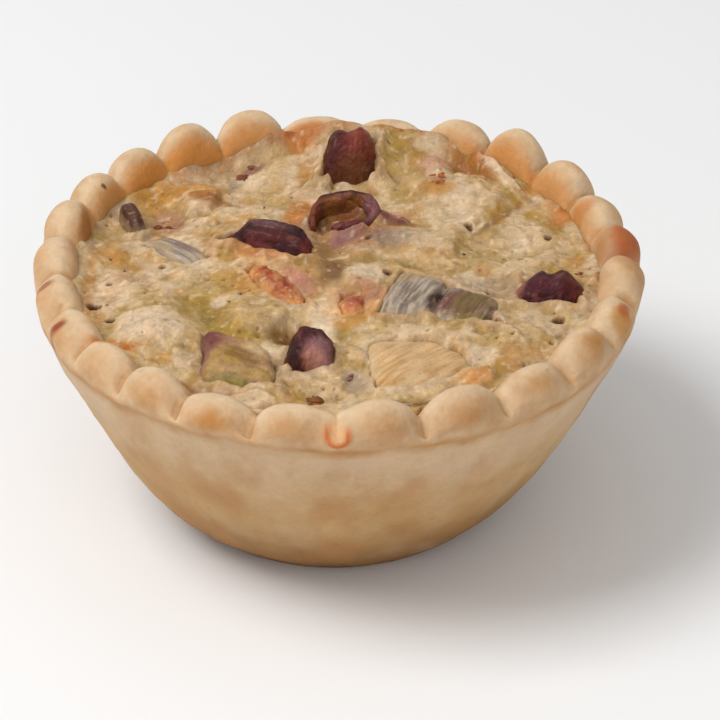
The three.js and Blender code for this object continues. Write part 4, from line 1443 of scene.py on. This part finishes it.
PEBBLE_TURN = 2.4  # from each pebble to the next, in radians


def pebbles(x, y, sizes, seed, steps):
    """Small uneven lumps sunk in the filling at the given places, as one mesh, and the points of each."""
    way, faces = cube_sphere(steps)
    x, y = np.array(x), np.array(y)
    ground = broad_top(x, y) + filling_relief(x, y).height
    points = []
    for number, size in enumerate(sizes):
        bump = 1 + 0.5 * noise(seed + number, 0.7, *way.T) + 0.35 * noise(seed + number, 0.3, *way.T)
        squat = way * SQUAT * bump[:, None] * size
        along, across = turned(squat[:, 0], squat[:, 1], -PEBBLE_TURN * number)
        z = ground[number] + squat[:, 2] - SINK * size
        points.append(np.stack([x[number] + along, y[number] + across, z], axis=-1))
    all_faces = np.concatenate([faces + number * len(way) for number in range(len(points))])
    return np.concatenate(points), all_faces.tolist(), len(way)


def crumbs():
    draw = np.random.default_rng(45)
    x, y, sizes, tints = [], [], [], []
    for group in CRUMBS:
        for _ in range(group.number):
            x.append(group.x + draw.uniform(-1, 1) * group.reach)
            y.append(group.y + draw.uniform(-1, 1) * group.reach)
            sizes.append(group.size * draw.uniform(0.5, 1.0))
            tints.append(mix(group.tint, GOLD, 0.25 * draw.random()))
    points, faces, each = pebbles(x, y, sizes, 421, CRUMB_STEPS)
    tint = uneven(np.repeat(np.array(tints), each, axis=0), 0.35 * rough(431, 0.8, 3, *points.T))
    piece("small_bits", points, faces, BACON, tint, np.full(len(points), CRUMB_WET))


def specks():
    draw = np.random.default_rng(34)
    far, way = SPECK_SPREAD * np.sqrt(draw.random(SPECKS)), draw.uniform(0, 2 * math.pi, SPECKS)
    sizes = draw.uniform(0.1, 0.22, SPECKS)
    points, faces, each = pebbles(far * np.cos(way), far * np.sin(way), sizes, 441, SPECK_STEPS)
    tint = np.repeat(mix(UMBER, BROWN, draw.random((SPECKS, 1))), each, axis=0)
    piece("pepper_specks", points, faces, PEPPER, tint, np.full(len(points), SPECK_WET))


# Stage: floor, light and camera, in metres

FLOOR_HALF = 2.0
FLOOR_GREY = (0.86, 0.86, 0.86, 1)
FLOOR_ROUGHNESS = 0.9
LIT_PLACE = Vector((0, 0, 0.02))
SKY_STRENGTH = 0.5


def floor():
    mesh = bpy.data.meshes.new("floor")
    corners = [(-1, -1), (1, -1), (1, 1), (-1, 1)]
    mesh.from_pydata([(x * FLOOR_HALF, y * FLOOR_HALF, 0) for x, y in corners], [], [(0, 1, 2, 3)])
    made = bpy.data.materials.new("floor")
    made.use_nodes = True
    shader = made.node_tree.nodes["Principled BSDF"]
    shader.inputs["Base Color"].default_value = FLOOR_GREY
    shader.inputs["Roughness"].default_value = FLOOR_ROUGHNESS
    mesh.materials.append(made)
    plane = bpy.data.objects.new("floor", mesh)
    bpy.context.scene.collection.objects.link(plane)


def lamp(name, place, size, watts):
    """A square soft light, aimed at the quiche."""
    light = bpy.data.lights.new(name, "AREA")
    light.size = size
    light.energy = watts
    made = bpy.data.objects.new(name, light)
    made.location = place
    made.rotation_euler = (LIT_PLACE - Vector(place)).to_track_quat("-Z", "Y").to_euler()
    bpy.context.scene.collection.objects.link(made)


def light():
    lamp("key", (-0.38, -0.12, 0.62), 0.34, 3.6)
    lamp("fill", (0.15, -0.75, 0.45), 0.6, 1.2)
    world = bpy.data.worlds.new("studio")
    world.use_nodes = True
    background = world.node_tree.nodes["Background"]
    background.inputs["Color"].default_value = (1, 1, 1, 1)
    background.inputs["Strength"].default_value = SKY_STRENGTH
    bpy.context.scene.world = world
    bpy.context.scene.view_settings.view_transform = "Standard"


def camera():
    rise = math.radians(CAMERA_ELEVATION)
    right = Vector((1, 0, 0))
    up = Vector((0, math.sin(rise), math.cos(rise)))
    back = Vector((0, -math.cos(rise), math.sin(rise)))
    focus = Vector((AXIS[0], AXIS[1], FOCUS_Z)) * MM
    made = bpy.data.objects.new("camera", bpy.data.cameras.new("camera"))
    made.location = focus + back * CAMERA_DISTANCE * MM
    middle = PHOTO_SIDE / 2
    aside = (middle - FOCUS_PIXEL[0]) / FOCAL_PIXELS
    down = (middle - FOCUS_PIXEL[1]) / FOCAL_PIXELS
    ahead = right * aside - up * down - back
    made.rotation_euler = ahead.to_track_quat("-Z", "Y").to_euler()
    made.data.sensor_width = SENSOR
    made.data.lens = FOCAL_PIXELS / PHOTO_SIDE * SENSOR
    bpy.context.scene.collection.objects.link(made)
    bpy.context.scene.camera = made


camera()
light()
floor()
baked_case()
baked_filling()
for lardon in LARDONS:
    bacon(lardon)
ham_pieces()
leek_pieces()
crumbs()
specks()
